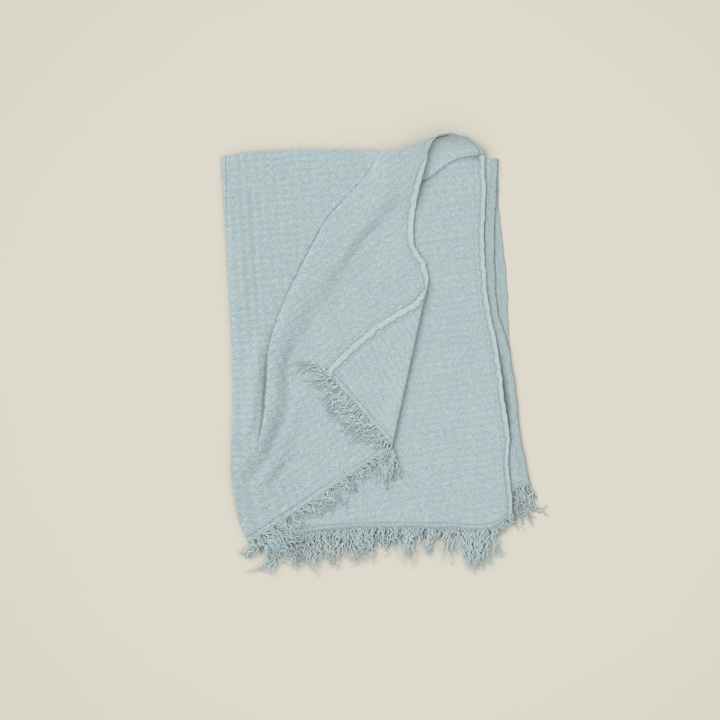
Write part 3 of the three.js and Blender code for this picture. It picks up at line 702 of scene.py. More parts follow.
def weave_cells(grid, across, along):
    """The weave's place at each corner of each cell. It runs on from either side to the
    middle of the top fold and of the left fold, by the length of the cloth."""
    tall, wide = grid.shape[:2]
    face = ROWS["face"] + 1
    fold = ROWS["fold"] - 1
    upper = len(CLOTH["second"])
    shown = int(COLUMNS["pleat"] * (1 - HIDDEN_PLEAT))
    pleat = len(CLOTH["corner"]) + len(CLOTH["outside"]) + shown
    half_row = face + fold // 2
    half_column = upper + (COLUMNS["turn"] - 1) // 2

    def beyond(known, count):
        """Each end of a known part, and what lies past it."""
        return (known.start, slice(0, known.start)), (known.stop - 1, slice(known.stop, count))

    def run_on(known, rows, columns):
        """A whole grid of weave places from a block of known ones: up and down from
        its end rows, then to either side from its end columns."""
        full = np.zeros(grid.shape[:2] + (2,))
        full[rows, columns] = known
        for end, part in beyond(rows, tall):
            full[part, columns] = full[end, columns]
            full[part, columns, 1] += np.abs(along[part, columns] - along[end, columns])
        for end, part in beyond(columns, wide):
            full[:, part] = full[:, [end]]
            full[:, part, 0] -= np.abs(across[:, part] - across[:, [end]])
        return full

    def lying(leans, rows, columns):
        """The same, from a layer that lies flat."""
        return run_on(on_weave(grid[rows, columns, :2], leans), rows, columns)

    face_rows, back_rows = slice(0, face), slice(face + fold, tall)
    upper_columns, lower_columns = slice(0, upper), slice(upper + COLUMNS["turn"] - 1, wide)
    first_rows, last_rows = slice(0, half_row), slice(half_row, tall - 1)
    first_columns, last_columns = slice(0, half_column), slice(half_column, wide - 1)
    left, right = (run_on(weave, face_rows, upper_columns) for weave in top_weave())
    patches = [
        (first_rows, slice(0, pleat), right),
        (first_rows, slice(pleat, half_column), left),
        (last_rows, first_columns, lying(SECOND_LEAN, back_rows, upper_columns)),
        (first_rows, last_columns, lying(LOWER_LEAN, face_rows, lower_columns)),
        (last_rows, last_columns, lying(LOWER_LEAN, back_rows, lower_columns)),
    ]
    cells = np.zeros((tall - 1, wide - 1, 4, 2))
    for rows, columns, weave in patches:
        down = slice(rows.start + 1, rows.stop + 1)
        over = slice(columns.start + 1, columns.stop + 1)
        corners = ((rows, columns), (down, columns), (down, over), (rows, over))
        cells[rows, columns] = np.stack([weave[corner] for corner in corners], 2)
    return cells


def ripples(along, longest, shortest, count, height, rng):
    """Sum of sines of random wavelengths and phases over a length."""
    waves = shortest * (longest / shortest) ** rng.uniform(0, 1, count)
    sines = sum(np.sin(2 * math.pi * along / wave + rng.uniform(0, 7)) for wave in waves)
    return height * (sines / math.sqrt(count))


def hem_mesh(name, pair, thickness, pinch, back_width, seed):
    """A folded hem: round the cloth's edge, a flat tube whose section is a rounded
    rectangle with a groove at its stitch line. Its width, its height and its line vary,
    and small wrinkles run across it. Round the top fold it is narrower by "pinch", and
    on the back layer its width is multiplied by "back_width"."""
    rng = np.random.default_rng(seed)
    half_ring = np.linspace(0, math.pi, HEM_SECTION)
    x, y = np.cos(half_ring), np.sin(half_ring)
    x, y = np.sign(x) * np.abs(x) ** HEM_SQUARING[0], np.abs(y) ** HEM_SQUARING[1]
    inward = (1 - x) / 2
    middle = pair(HEM_WIDTH * inward - HEM_PAST_EDGE, HEM_GRID)
    along = arcs(middle, 0)[:, :1]
    row = np.arange(len(along))[:, None]
    fold_start, fold_end = HEM_GRID["face"], HEM_GRID["face"] + HEM_GRID["fold"]
    turn = smooth((row - fold_start + PINCH_BEFORE) / PINCH_ROWS[0])
    turn = turn * smooth((fold_end - row) / PINCH_ROWS[1])
    past = smooth((row - fold_end) / BACK_ROWS)
    width = 1 + ripples(along, *WIDTH_RIPPLES, rng)
    width = width * (1 - pinch * turn) * mix(1, back_width, past)
    sway = ripples(along, *LINE_RIPPLES, rng)
    across = middle - middle[:, :1]
    middle = middle[:, :1] + across * width[..., None] + unit(across[:, -1:]) * sway[..., None]
    normals = grid_normals(middle)
    wrinkles = 1 + ripples(along, *WRINKLES, rng)
    groove = 1 - GROOVE_DEPTH * np.exp(-((HEM_WIDTH * inward - (HEM_WIDTH - GROOVE_IN)) ** 2))
    high = normals * (thickness / 2 * y * groove * wrinkles)[..., None]
    raised = middle + (thickness - SHEET) / 2 * np.sign(normals[..., 2:]) * normals * y[:, None]
    ring = np.concatenate([raised + high, (raised - high)[:, -2:0:-1]], 1)
    ring[..., 2] = np.maximum(ring[..., 2], CLEAR)
    share = np.concatenate([inward, inward[-2:0:-1]])
    return tube_mesh(name, ring[None], share, along[:, 0][None] * MM)


def tube_mesh(name, rings, share, along):
    """Closed tubes from rings of places: quads between rings and a fan over each end.
    The UV map holds the share round the section and the length along the tube."""
    tubes, tall, sides = rings.shape[:3]
    count = tubes * tall * sides
    ends = rings[:, [0, -1]].mean(2)
    places = np.concatenate([rings.reshape(-1, 3), ends.reshape(-1, 3)])
    first = (np.arange(tubes) * tall * sides)[:, None]
    last = first + (tall - 1) * sides
    s = np.arange(sides)
    n = (s + 1) % sides
    low = first[..., None] + np.arange(tall - 1)[:, None] * sides
    quads = np.stack([low + s, low + n, low + sides + n, low + sides + s], -1).reshape(-1, 4)
    cap = count + 2 * np.arange(tubes)[:, None] + 0 * s
    fans = np.concatenate([
        np.stack([first + n, first + s, cap], -1).reshape(-1, 3),
        np.stack([last + s, last + n, cap + 1], -1).reshape(-1, 3),
    ])
    on_yarn = np.zeros((len(places), 2))
    on_yarn[:count, 0] = np.tile(share, tubes * tall)
    on_yarn[:, 1] = np.concatenate([np.repeat(along, sides, 1).ravel(), along[:, [0, -1]].ravel()])
    corners = np.concatenate([quads.ravel(), fans.ravel()])
    return new_mesh(name, places, [quads, fans], [("Yarn", on_yarn[corners])])


def upper_hem_pair(inward, rows):
    """The upper pair's cloth at distances in from its hem."""

    def top(down):
        edge = point(TOP_HEM, down)
        way = unit(point(CORNER_LINE, down) - edge)
        return edge + way * inward[:, None], None

    def across(down):
        width = np.linalg.norm(point(SECOND_HEM, down) - point(INNER_LEFT_FOLD, down), axis=-1)
        return 1 - inward / width

    return upper_pair(top, across, rows)


def lower_hem_pair(inward, rows):
    """The lower pair's cloth at distances in from its hem."""
    return lower_pair(lambda down: 1 - inward / LOWER_WIDTH, rows)


# Threads: sides and steps of each tube, share of thin ones, radii of these and of the
# others, how much thinner the last share of each is, and threads for each one in a lock
THREAD_SIDES = 3
THREAD_STEPS = 20
HAIR_SHARE = 0.2
HAIR_RADIUS = (0.6, 0.9)
YARN_RADIUS = (1.5, 2.1)
TIP_TAPER = 0.55
TIP_SHARE = 0.4
FULLNESS = 1.05

# Roots: how far they keep from the edge's ends and lie in from it, the share that comes
# over the cloth's edge and how high, the steps along and out from the edge that give its
# direction, and the places along it
END_MARGIN = 0.5
ROOT_DEPTH = (1.0, 5.0)
OVER_EDGE = 0.5
OVER_LIFT = 2.2
EDGE_STEP = 4
NUDGE = 0.5
EDGE_STEPS = 160

# The length over which threads come down from their layer, how high they lie on the
# cloth below, and how far they clear the floor
DROP = 22
THREAD_LIFT = 1.6
CLEARANCE = 0.1
NEARLY_UP = np.array([0.0, 0.0, 1.0]) + 1e-4

# The share of an edge past which even locks are few, and the short threads between locks
SPARSE_FROM = 0.68
SHORT_LENGTH = 27.0
SHORT_SEED = 40

# Locks listed one by one: root in x, or as a share along the edge from its hem, length,
# lean and bend in degrees clockwise from straight out, half its width, number of threads
SECOND_LOCKS = table(
    "x length lean bend wide count",
    [296, 14, 10, 20, 8, 5], [280, 16, -10, 20, 8, 5], [268, 20, -20, 30, 6, 4],
    [255, 74, 4, 10, 6, 6], [241, 92, 8, 4, 7, 7], [226, 96, -4, 10, 7, 7],
    [209, 100, -22, 18, 7, 7], [193, 92, -26, 26, 7, 7], [177, 78, -10, -12, 7, 7],
    [161, 66, 14, -50, 7, 7], [147, 50, -24, 30, 6, 6], [134, 104, -8, 0, 2, 2],
    [122, 64, 26, -12, 6, 6], [108, 66, 10, 6, 6, 6], [92, 42, 22, -30, 5, 4],
    [77, 44, 36, -20, 6, 5], [62, 90, 24, -34, 6, 7], [48, 74, -12, 10, 5, 6],
    [34, 46, 20, -24, 6, 5], [18, 50, -18, 34, 6, 5], [4, 88, -14, -6, 2, 2],
    [-6, 52, 12, -36, 5, 4], [-24, 84, 16, -18, 6, 6], [-42, 58, -10, 18, 6, 6],
    [-57, 76, 4, -8, 6, 8], [-72, 86, -6, 10, 6, 8], [-88, 72, -4, 2, 6, 8], [-106, 84, 4, 6, 5, 7],
    [-140, 90, -4, -10, 6, 7], [-154, 84, -10, 20, 6, 7], [-168, 108, -4, 14, 3, 4],
    [-178, 88, 4, 12, 6, 7], [-192, 76, 16, -10, 5, 6], [-222, 24, -10, 10, 6, 4],
    [-246, 94, -32, 6, 5, 6], [-256, 92, -35, 10, 5, 6], [-265, 86, -38, -4, 5, 6],
    [-274, 104, -30, 84, 4, 7], [-284, 84, -42, 6, 5, 6], [-293, 62, -46, 20, 5, 5],
    [-304, 58, 0, 96, 4, 9],
)
TOP_LOCKS = table(
    "at length lean bend wide count",
    [0.008, 84, 76, -50, 5, 6], [0.03, 66, 30, -6, 5, 4], [0.05, 62, 34, 16, 5, 5],
    [0.075, 44, 24, 30, 5, 3], [0.1, 96, 42, -110, 4, 4], [0.122, 72, 48, -70, 5, 5],
    [0.15, 70, 40, -10, 6, 6], [0.18, 76, 36, 24, 6, 6], [0.205, 70, 44, -34, 5, 5],
    [0.23, 78, 34, 10, 6, 6], [0.26, 80, 40, 14, 6, 6], [0.285, 86, 44, -20, 5, 6],
    [0.312, 82, 40, 18, 6, 6], [0.335, 74, 34, 26, 5, 6], [0.352, 56, 30, -40, 4, 5],
    [0.372, 66, -26, 50, 4, 6], [0.385, 82, 0, 50, 5, 7], [0.403, 84, 18, -20, 5, 7],
    [0.422, 84, 10, 30, 5, 7], [0.445, 66, -10, 20, 5, 7], [0.47, 52, -34, 30, 6, 6],
    [0.5, 46, -40, 44, 6, 5], [0.53, 40, -30, 60, 6, 5], [0.56, 54, -34, -30, 6, 5],
    [0.59, 44, -30, 50, 6, 5], [0.62, 60, -52, 40, 6, 6], [0.65, 64, -50, 10, 6, 6],
    [0.68, 46, -34, 30, 6, 5], [0.71, 74, -54, 30, 5, 6], [0.735, 70, -50, 24, 6, 7],
    [0.765, 56, -44, 16, 6, 6], [0.79, 44, -20, -30, 6, 5], [0.82, 52, -4, -16, 6, 5],
    [0.85, 56, 2, 10, 6, 5], [0.88, 64, -14, -16, 6, 5], [0.91, 104, -20, -8, 6, 7],
    [0.94, 108, -24, -4, 6, 7], [0.97, 70, -10, 30, 6, 5], [0.99, 50, 20, 20, 4, 4],
)
CORNER_LOCKS = table(
    "at length lean bend wide count",
    [0.006, 78, 4, 60, 3, 3], [0.02, 104, 50, -130, 1, 2], [0.024, 86, 10, 70, 4, 4],
    [0.03, 122, 24, -44, 1, 2], [0.044, 98, 24, -14, 4, 4], [0.066, 96, 8, -20, 4, 4],
    [0.09, 90, 16, -80, 5, 3],
)


def sweep(paths, radius, sides):
    """Tubes along paths: rings of the given radius across each path's tangent."""
    tangent = unit(np.gradient(paths, axis=1))
    side = unit(np.cross(tangent, NEARLY_UP))
    up = np.cross(side, tangent)
    angle = np.arange(sides) * 2 * math.pi / sides
    ring = side[:, :, None] * np.cos(angle)[:, None] - up[:, :, None] * np.sin(angle)[:, None]
    return paths[:, :, None] + ring * radius[..., None, None]


def lengths_along(line):
    """Arc length at each place of a line."""
    return np.concatenate([[0], np.cumsum(np.linalg.norm(np.diff(line, axis=0), axis=1))])


def running_sum(steps):
    """Sum of the steps up to each, without the first."""
    return np.cumsum(steps, 1) - steps[:, :1]


def fringe_paths(edge, lay, rest, locks, seed):
    """Threads of a fringe. Each leaves its edge outwards and its heading is the sum of
    its lock's lean and bend and its curl, lean + bend s + curl sin(2 pi t / wave +
    phase), so its place is the running sum of its steps. Threads of one lock curl nearly
    together. It comes down from its layer to what it lies on over its first DROP."""
    rng = np.random.default_rng(seed)
    counts = np.maximum(2, np.round(locks["count"] * FULLNESS)).astype(int)
    lock = np.repeat(np.arange(len(counts)), counts)
    count = len(lock)
    lengths = lengths_along(edge)
    end = lengths[-1]
    place = locks["at"] * end if "at" in locks else np.interp(-locks["x"], -edge[:, 0], lengths)

    def on_edge(at):
        return np.stack([np.interp(at, lengths, edge[:, k]) for k in (0, 1)], -1)

    # Roots, a little way in from the edge
    rank = (np.arange(count) - np.searchsorted(lock, lock) + 0.5) / counts[lock]
    spread = (2 * rank - 1) * locks["wide"][lock] + rng.uniform(-1, 1, count)
    along = np.clip(place[lock] + spread, END_MARGIN, end - END_MARGIN)
    base = on_edge(along)
    inside = rng.uniform(*ROOT_DEPTH, count)[:, None]
    over = rng.random(count) < OVER_EDGE
    out = unit(left_of(on_edge(along + EDGE_STEP) - on_edge(along - EDGE_STEP)))
    root = lay(base - out * inside)
    root[:, 2] += np.where(over, OVER_LIFT, 0)
    ahead = unit((lay(base + out * NUDGE) - lay(base))[:, :2])
    side = -left_of(ahead)

    # Headings and places along each thread: t in millimetres, s as a share
    hair = rng.random(count) < HAIR_SHARE
    length = locks["length"][lock] * rng.uniform(0.9, 1.2, count)
    s = np.linspace(0, 1, THREAD_STEPS)
    t = length[:, None] * s
    wave = (rng.uniform(20, 36, len(counts))[lock] * rng.uniform(0.88, 1.12, count))[:, None]
    phase = (rng.uniform(0, 7, len(counts))[lock] + rng.normal(0, 0.7, count))[:, None]
    curl = rng.uniform(0.4, 1.1, count)[:, None] * smooth(t / 9)
    heading = (
        np.radians(locks["lean"][lock] + rng.normal(0, 8, count))[:, None]
        + np.radians(locks["bend"][lock] + rng.normal(0, 18, count))[:, None] * s
        + curl * np.sin(2 * math.pi * t / wave + phase)
    )
    step = length[:, None] / (THREAD_STEPS - 1)
    ways = np.cos(heading), np.sin(heading)
    forward, sideways = (running_sum(way * step)[..., None] for way in ways)
    gather = (spread * rng.uniform(0.5, 1.0, count))[:, None] * smooth(s / 0.8)
    plan = root[:, None, :2] + ahead[:, None] * forward
    plan = plan + side[:, None] * (sideways - gather[..., None])

    # Heights, as the threads lie on one another
    pile = rng.uniform(0.2, 2.6, count)[:, None]
    bob = np.sin(2 * math.pi * t / wave * 1.3 + rng.uniform(0, 7, count)[:, None])
    floor = rest(plan, base[:, None]) + (pile + 0.9 * bob)
    thin, thick = (rng.uniform(*radii, count) for radii in (HAIR_RADIUS, YARN_RADIUS))
    taper = 1 - TIP_TAPER * smooth((s - (1 - TIP_SHARE)) / TIP_SHARE)
    radius = np.where(hair, thin, thick)[:, None] * taper
    z = np.maximum(mix(root[:, None, 2], floor, smooth(t / DROP)), radius + CLEARANCE)
    return np.concatenate([plan, z[..., None]], -1), radius, t


def even_locks(edge, pitch, seed, length, sparse_from=1.0):
    """Locks at about one pitch, unevenly: each a little off its place, with its own
    lean, bend, length and number of threads. Past a share of the edge they are few
    and short."""
    rng = np.random.default_rng(seed)
    count = int(lengths_along(edge)[-1] / pitch)
    at = (np.arange(count) + 0.5 + rng.uniform(-0.35, 0.35, count)) / count
    locks = {
        "at": at,
        "wide": rng.uniform(3.0, 7.0, count),
        "lean": rng.normal(0, 16, count),
        "bend": rng.normal(0, 26, count),
        "length": length * rng.uniform(0.7, 1.1, count) * np.where(at > sparse_from, 0.7, 1),
        "count": rng.integers(2, 6, count),
    }
    kept = (at <= sparse_from) | (np.arange(count) % 3 == 0)
    return {key: values[kept] for key, values in locks.items()}


def join_locks(placed, even):
    """Listed locks, then the even ones past the last of them."""
    kept = even["at"] > placed["at"].max()
    return {key: np.concatenate([placed[key], even[key][kept]]) for key in placed}


def fringe_mesh(name, edge, lay, rest, locks, pitch, seed):
    """The threads of one fringe as one mesh of closed tubes: its locks, and short curly
    threads close together along its edge."""
    short = even_locks(edge, pitch, seed + SHORT_SEED, SHORT_LENGTH)
    sets = [fringe_paths(edge, lay, rest, each, seed + k) for k, each in enumerate((locks, short))]
    paths, radius, t = (np.concatenate(parts) for parts in zip(*sets))
    rings = sweep(paths, radius, THREAD_SIDES)
    return tube_mesh(name, rings, np.arange(THREAD_SIDES) / THREAD_SIDES, t * MM)


def layer_edge(layer):
    """A layer's fringe edge seen from above, from the hem to the left fold."""
    across = np.linspace(1, 0, EDGE_STEPS)
    return layer_plan(*layer, across, np.ones_like(across))


def at_level(level):
    """Roots on a layer that lies flat."""
    return lambda plan: with_height(plan, level)


def resting_at(level):
    """Threads that lie on something flat."""
    return lambda plan, base: level


def on_second_or_top(plan, base):
    """Turned-back threads lie on the top layer, the others on the second."""
    turned = (base - CREASE_TOP) @ CREASE_OUT > 0
    return np.where(turned, TOP_Z + THREAD_LIFT + swell(plan), SECOND_Z + THREAD_LIFT)


# Zones of the cloth's finish, in metres: each edge names a place and where it is 0 and
# 1. "strip" has the pressed columns beside the left fold and painted shade over them,
# "low" is painted shade on the lower left, "hollow" is painted shade along the trough
# beside the pleat and "under" is painted light on the third layer beside the second
# layer's hem.
ZONES = {
    "left": [("x", 0.05, -0.2)],
    "right": [("x", -0.24, -0.14)],
    "strip": [("x", -0.345, -0.315), ("x", -0.27, -0.30), ("y", -0.02, 0.12), ("y", 0.46, 0.36)],
    "low": [("y", -0.12, -0.24), ("x", -0.16, -0.27)],
    "hollow": [
        ("trough", -0.19, -0.155), ("trough", -0.11, -0.145), ("y", 0.04, 0.1), ("y", 0.29, 0.22),
    ],
    "under": [("x", 0.238, 0.243), ("y", 0.15, 0.2)],
}

# Waves that cross the weave: how many across and along a cell, phase and share
CRINKLE = [
    (1, 1, 0.4, 0.32), (1, -1, 2.0, 0.28), (1, 2, 1.2, 0.5), (2, -2, 0.5, 0.6), (2, 2, 2.6, 0.5),
]

# How uneven stitches and creases are, in metres
JAGGED = 0.004

# Colours, and what each part adds to the shade and, in millimetres, to the relief
CLOTH_BLUE = (0.432, 0.528, 0.561, 1)
CLOTH_GREEN = (0.445, 0.538, 0.539, 1)
HEM_BLUE = (0.446, 0.542, 0.553)
YARN_BLUE = (0.440, 0.535, 0.545)
GROUND_GREY = (0.652, 0.628, 0.552)
# In the shade "dark", "strip", "low" and "hollow" add painted shade, "under" and "inner" painted
# light, and "pucker" a painted highlight with painted shade
CLOTH_SHADE = {
    "bars": 0.023, "rows": 0.014, "strip": -0.02, "strip columns": 0.012, "low": -0.055,
    "hollow": -0.028, "under": 0.03, "pucker": 0.08, "lumps": 0.01, "fine": 0.22,
    "thread": 0.25, "patch": 0.05, "stitch": -0.14, "inner": 0.12,
}
CLOTH_RELIEF = {
    "bars": 0.33, "lumps": 0.2, "fine": 1.2, "thread": 0.55, "pucker": 0.8, "stitch": -0.8,
    "dark": -1.5,
}
HEM_SHADE = {"low": -0.09, "lumps": 0.2, "fine": 0.4, "stitch": -0.10, "dash": -0.14}
HEM_RELIEF = {"lumps": 2.6, "fine": 2.6, "stitch": -0.5, "dash": -0.7}
YARN_SHADE = {"deep_shade": -0.28, "plies": 0.05, "lumps": 0.2, "root": -0.1}
YARN_RELIEF = {"plies": 0.16, "lumps": 0.5}


def maths(operation, swapped=False):
    """A method that adds a Math node."""

    def made(self, other):
        pair = [other, self] if swapped else [self, other]
        return self.finish.node("Math", {"operation": operation}, pair)

    return made


class Wire:
    """A socket in a material. Operators on it add Math nodes."""

    def __init__(self, finish, socket):
        self.finish, self.socket = finish, socket

    __add__ = __radd__ = maths("ADD")
    __sub__, __rsub__ = maths("SUBTRACT"), maths("SUBTRACT", swapped=True)
    __mul__ = __rmul__ = maths("MULTIPLY")
    __truediv__ = maths("DIVIDE")
    __pow__ = maths("POWER")
    larger = maths("MAXIMUM")
    above = maths("GREATER_THAN")


class Finish:
    """A material being built from nodes."""

    def __init__(self, name):
        self.material = bpy.data.materials.new(name)
        self.material.use_nodes = True
        self.tree = self.material.node_tree
        self.tree.nodes.clear()

    def node(self, kind, settings, inputs=(), output=0):
        """Adds a node: first its settings, then the values or links of its sockets."""
        made = self.tree.nodes.new("ShaderNode" + kind)
        for key, value in settings.items():
            setattr(made, key, value)
        for key, value in inputs.items() if isinstance(inputs, dict) else enumerate(inputs):
            if isinstance(value, Wire):
                self.tree.links.new(value.socket, made.inputs[key])
            else:
                made.inputs[key].default_value = value
        return Wire(self, made.outputs[output]) if made.outputs else made

    def place(self):
        """The place on the throw, in metres."""
        return self.node("TexCoord", {}, output=3)

    def uv(self, name):
        """The place on one of the mesh's maps."""
        return self.node("UVMap", {"uv_map": name})

    def parts(self, vector):
        """The three parts of a vector."""
        sockets = self.node("SeparateXYZ", {}, [vector]).socket.node.outputs
        return [Wire(self, socket) for socket in sockets]

    def vector(self, operation, inputs, output=0):
        """Vector maths."""
        return self.node("VectorMath", {"operation": operation}, inputs, output)

    def wave(self, angle):
        """Sine of an angle."""
        return self.node("Math", {"operation": "SINE"}, [angle])

    def step(self, value, low, high):
        """Rises smoothly from 0 at low to 1 at high."""
        edges = {0: value, 1: low, 2: high, 3: 0.0, 4: 1.0}
        return self.node("MapRange", {"interpolation_type": "SMOOTHSTEP"}, edges)

    def band(self, value, rise, fall):
        """1 between two steps and 0 outside them."""
        return self.step(value, *rise) * self.step(value, *fall)

    def zone(self, values, edges):
        """Product of soft steps: each edge names a value and where it is 0 and 1."""
        first, *others = (self.step(values[key], low, high) for key, low, high in edges)
        for other in others:
            first = first * other
        return first

    def total(self, base, parts, strengths):
        """The base plus each named part times its strength."""
        for key, strength in strengths.items():
            base = base + parts[key] * strength
        return base

    def noise(self, place, scale, detail=2.0, rough=0.5):
        """Noise round 0, up to half a unit either way, at a scale per metre."""
        inputs = {"Vector": place, "Scale": scale, "Detail": detail, "Roughness": rough}
        return self.node("TexNoise", {"noise_dimensions": "3D"}, inputs) - 0.5

    def done(self, colour, shade, roughness, height, bump=1.0, sheen=0.25):
        """Joins the colour times its shade, the roughness and the relief, whose height
        is in millimetres."""
        inputs = {
            "Base Color": self.vector("SCALE", {0: colour, 3: shade}),
            "Roughness": roughness,
            "Normal": self.node("Bump", {}, {"Strength": bump, "Distance": MM, "Height": height}),
            "Sheen Weight": sheen,
            "Sheen Roughness": 0.6,
            "Specular IOR Level": 0.15,
        }
        self.node("OutputMaterial", {}, {"Surface": self.node("BsdfPrincipled", {}, inputs)})
        return self.material


def cloth_material():
    """Crinkled weave: on the weave's own places u across and v along, wide weft bars
    that lean and short upright warp ribs, broken by noise, and fine threads over them.
    The stitches beside the fringe are a groove, and shade is painted on the thin creases,
    on a narrow line and, where strong, on a soft band."""
    f = Finish("crinkled_linen")
    uv = f.uv("Weave")
    from_hem, from_fringe, _ = f.parts(f.uv("Edges"))
    away, strength, _ = f.parts(f.uv("Crease"))
    past, crest, _ = f.parts(f.uv("Crest"))
    x, y, _ = f.parts(f.place())

    # Zones where the finish changes
    places = {"x": x, "y": y, "trough": x * 0.883 - y * 0.47}
    zones = {name: f.zone(places, edges) for name, edges in ZONES.items()}

    # The weave's bars and ribs
    inputs = {"Vector": uv, "Scale": 20.0, "Detail": 2.0}
    warp = f.node("TexNoise", {"noise_dimensions": "2D"}, inputs, output=1)
    shifted = f.vector("MULTIPLY_ADD", {0: warp, 1: (0.005, 0.005, 0.0), 2: uv})
    u, v = (part * (2 * math.pi / (size * MM)) for part, size in zip(f.parts(shifted), CELL))
    rows = f.wave(v + 0.8)
    columns = f.wave(u) * (0.35 + zones["left"] * 0.35 + zones["strip"] * 0.55)
    bars = columns + rows * 0.7
    for across, along, phase, share in CRINKLE:
        bars = bars + f.wave(u * across + v * along + phase) * share
    bars = bars * (1 - zones["right"] * 0.28)
    lumps = f.noise(uv, 150.0, 3.0, 0.6)
    fine = f.noise(uv, 330.0, 2.0, 0.7)
    crossing = f.vector("FLOOR", [f.vector("SCALE", {0: uv, 3: 1 / THREAD})])
    thread = f.node("TexWhiteNoise", {"noise_dimensions": "2D"}, {"Vector": crossing}) - 0.5

    # Stitches beside the fringe, and puckers beside the hem: a raised band with a painted
    # highlight, then a broken band with painted shade
    stitch = f.band(from_fringe, (0.0135, 0.0145), (0.0170, 0.0160))
    hem_gap = from_hem + lumps * JAGGED
    pucker = f.band(hem_gap, (0.0165, 0.018), (0.0215, 0.020))
    pucker = pucker - f.band(hem_gap, (0.0205, 0.022), (0.0255, 0.024)) * f.step(thread, -0.2, 0.3)

    # Creases, with painted shade: the strong ones wider, the weak ones broken
    jag = away + lumps * JAGGED
    wide = strength ** 4 * 0.032 + 0.0014
    broken = f.step(f.noise(uv, 75.0, 1.0), -0.08, 0.06).larger(strength * 2 - 0.9)
    near = 1 - f.step(jag / wide, -0.2, 1.0)
    line = f.step(jag, -0.0022, -0.0006) * near ** 1.5 * strength * broken
    # Painted shade along the crest of the raised fold
    outline = f.band(past + lumps * JAGGED, (-0.001, 0.001), (0.0055, 0.003)) * crest

    # Painted shade on the line between the two left folds, near their top end
    lip = x + y * 0.021 + 0.36014
    lip = f.band(lip, (-0.0012, -0.0002), (0.0022, 0.0010)) * f.step(y, 0.27, 0.36) * 0.45

    # All the painted shade, and painted light on the inside of the raised fold
    dark = line.larger(outline).larger(lip)
    inner = f.step(past, 0.004, 0.014) * f.step(away, 0.0, -0.006) * crest.above(0.0)

    parts = {"bars": bars, "rows": rows, "lumps": lumps, "fine": fine, "thread": thread}
    parts |= {"pucker": pucker, "stitch": stitch, "dark": dark, "inner": inner}
    parts |= zones | {"strip columns": zones["strip"] * columns, "patch": f.noise(f.place(), 5.0)}
    shade = f.total(0.976, parts, CLOTH_SHADE) * (1 - dark * 0.6)
    tint = f.step(f.noise(f.place(), 26.0, 1.0), -0.2, 0.2)
    base = f.node("Mix", {"data_type": "RGBA"}, {0: tint, 6: CLOTH_BLUE, 7: CLOTH_GREEN}, 2)
    return f.done(base, shade, 0.86 + lumps * 0.12, f.total(0.0, parts, CLOTH_RELIEF))


def hem_material(name, pale, seam):
    """Folded hem: uneven threads, a row of stitches near its inner edge, and painted shade
    along both its edges where they meet the cloth below. "seam" is how much of this shows."""
    f = Finish(name)
    inward, along, _ = f.parts(f.uv("Yarn"))
    place = f.place()
    lumps = f.noise(place, 160.0, 3.0, 0.6)
    fine = f.noise(place, 360.0, 2.0, 0.7)
    shifted = inward + lumps * 0.22
    stitch = f.band(shifted, (0.70, 0.76), (0.86, 0.80)) * seam
    dash = f.step(f.wave(along * (2 * math.pi / 0.0052)), -0.5, 0.1)
    # Painted shade along both edges of the hem, where it meets the cloth below
    rim_shade = 1 - f.step(shifted, -0.05, 0.08) * (1 - f.step(shifted, 0.86, 0.96) * seam)
    low = f.step(f.parts(place)[1], -0.1, -0.32) * seam
    parts = {"low": low, "lumps": lumps, "fine": fine, "stitch": stitch, "dash": stitch * dash}
    shade = f.total(pale, parts, HEM_SHADE) * (1 - rim_shade * 0.5)
    return f.done(HEM_BLUE, shade, 0.86 + lumps * 0.1, f.total(0.0, parts, HEM_RELIEF))


def fringe_material():
    """Twisted yarn: plies that slope across each thread, with painted shade at its root and on
    threads that lie low.
    """
    f = Finish("twisted_fringe_yarn")
    round_it, along, _ = f.parts(f.uv("Yarn"))
    place = f.place()
    plies = f.wave(round_it * (4 * math.pi) + along * (2 * math.pi / 0.004))
    # Painted shade on threads that lie low and at each thread's root
    parts = {
        "lumps": f.noise(place, 240.0, 2.0, 0.6),
        "plies": plies,
        "deep_shade": f.step(f.parts(place)[2], 0.008, 0.002),
        "root": 1 - f.step(along, 0.0, 0.012),
    }
    shade = f.total(1.26, parts, YARN_SHADE)
    height = f.total(0.0, parts, YARN_RELIEF)
    return f.done(YARN_BLUE, shade, 0.84 + parts["lumps"] * 0.1, height, 0.8)


def ground_material():
    """Plain matte paper in a warm pale grey, very slightly uneven, with painted shade that darkens
    it far out.
    """
    f = Finish("plain_ground")
    place = f.place()
    patch = f.noise(place, 2.0)
    far = f.vector("LENGTH", [place], 1)
    # Painted shade: the floor darkens far out, as the light falls off
    shade = 1.0 + patch * 0.02 - f.step(far, 0.75, 1.25) * 0.055
    return f.done(GROUND_GREY, shade, 0.9, patch, 0.1, 0.0)


# The picture: a camera straight above, whose view is FIELD wide at the floor, in metres
CAMERA_HEIGHT = 5.0
FIELD = 1.692
VIEW_CENTRE = (-0.0549, -0.0009)
SENSOR = 36.0
SKY = 0.60

# Large soft lights: the way towards each, how wide it is in degrees, its power
SUNS = [("soft_left", (-1.0, 0.55, 1.25), 50.0, 1.75), ("soft_right", (1.0, -0.2, 1.6), 70.0, 0.4)]


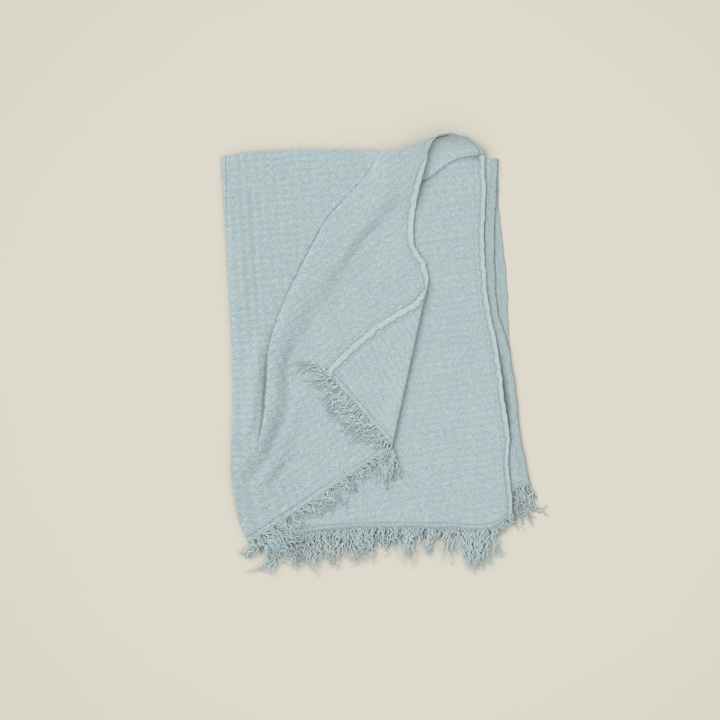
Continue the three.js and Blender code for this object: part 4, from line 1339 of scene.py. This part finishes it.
def studio():
    """Plain floor, even light from all round and two soft lights, camera straight above."""
    floor = bpy.data.meshes.new("studio_floor")
    reach = 6.0
    corners = [(-reach, -reach, 0), (reach, -reach, 0), (reach, reach, 0), (-reach, reach, 0)]
    floor.from_pydata(corners, [], [(0, 1, 2, 3)])
    floor.materials.append(ground_material())
    ground = bpy.data.objects.new("studio_floor", floor)

    world = bpy.data.worlds.new("studio_light")
    bpy.context.scene.world = world
    world.use_nodes = True
    light_from_sky = world.node_tree.nodes["Background"].inputs
    light_from_sky[0].default_value = (1.0, 0.995, 0.985, 1)
    light_from_sky[1].default_value = SKY

    lamps = []
    for name, towards, angle, power in SUNS:
        light = bpy.data.lights.new(name, "SUN")
        light.angle, light.energy = math.radians(angle), power
        lamp = bpy.data.objects.new(name, light)
        lamp.rotation_euler = Vector(towards).to_track_quat("Z", "Y").to_euler()
        lamps.append(lamp)

    camera = bpy.data.cameras.new("camera")
    camera.sensor_width = SENSOR
    camera.lens = SENSOR * CAMERA_HEIGHT / FIELD
    camera.clip_end = 50.0
    eye = bpy.data.objects.new("camera", camera)
    eye.location = (*VIEW_CENTRE, CAMERA_HEIGHT)

    for thing in (ground, *lamps, eye):
        bpy.context.scene.collection.objects.link(thing)
    bpy.context.scene.camera = eye
    bpy.context.scene.view_settings.view_transform = "Standard"
    return ground


ground = studio()
linen, yarn = cloth_material(), fringe_material()
open_hem, shaded_hem = hem_material("folded_hem", 1.15, 1.0), hem_material("shaded_hem", 0.94, 0.3)

cloth = add_piece(cloth_mesh(), linen, "linen", "cloth")
upper_hem = hem_mesh("upper_hem", upper_hem_pair, UPPER_HEM, pinch=0.7, back_width=0.8, seed=5)
upper_hem = add_piece(upper_hem, open_hem, "linen")
lower_hem = hem_mesh("lower_hem", lower_hem_pair, LOWER_HEM, pinch=0, back_width=1, seed=6)
lower_hem = add_piece(lower_hem, shaded_hem, "linen")

top_edge = cloth_plan(np.ones((1, 1)))[0][0]
second_edge, third_edge, bottom_edge = (layer_edge(layer) for layer in (SECOND, THIRD, BOTTOM))
third_locks = join_locks(CORNER_LOCKS, even_locks(third_edge, 17, 23, 46, SPARSE_FROM))
bottom_locks = even_locks(bottom_edge, 17, 24, 40, SPARSE_FROM)

# Each fringe: its edge, where its roots and its threads lie, its locks, the pitch of the
# short threads between them, and its seed
fringes = [
    add_piece(fringe_mesh(f"{name}_layer_fringe", *how), yarn, "fringe", f"fringe_{name}")
    for name, *how in (
        ("top", top_edge, on_top_layer, on_second_or_top, TOP_LOCKS, 16, 31),
        ("second", second_edge, at_level(SECOND_Z), resting_at(6.0), SECOND_LOCKS, 11, 32),
        ("third", third_edge, at_level(THIRD_Z), resting_at(3.0), third_locks, 60, 33),
        ("bottom", bottom_edge, at_level(BOTTOM_Z), resting_at(0.4), bottom_locks, 60, 34),
    )
]
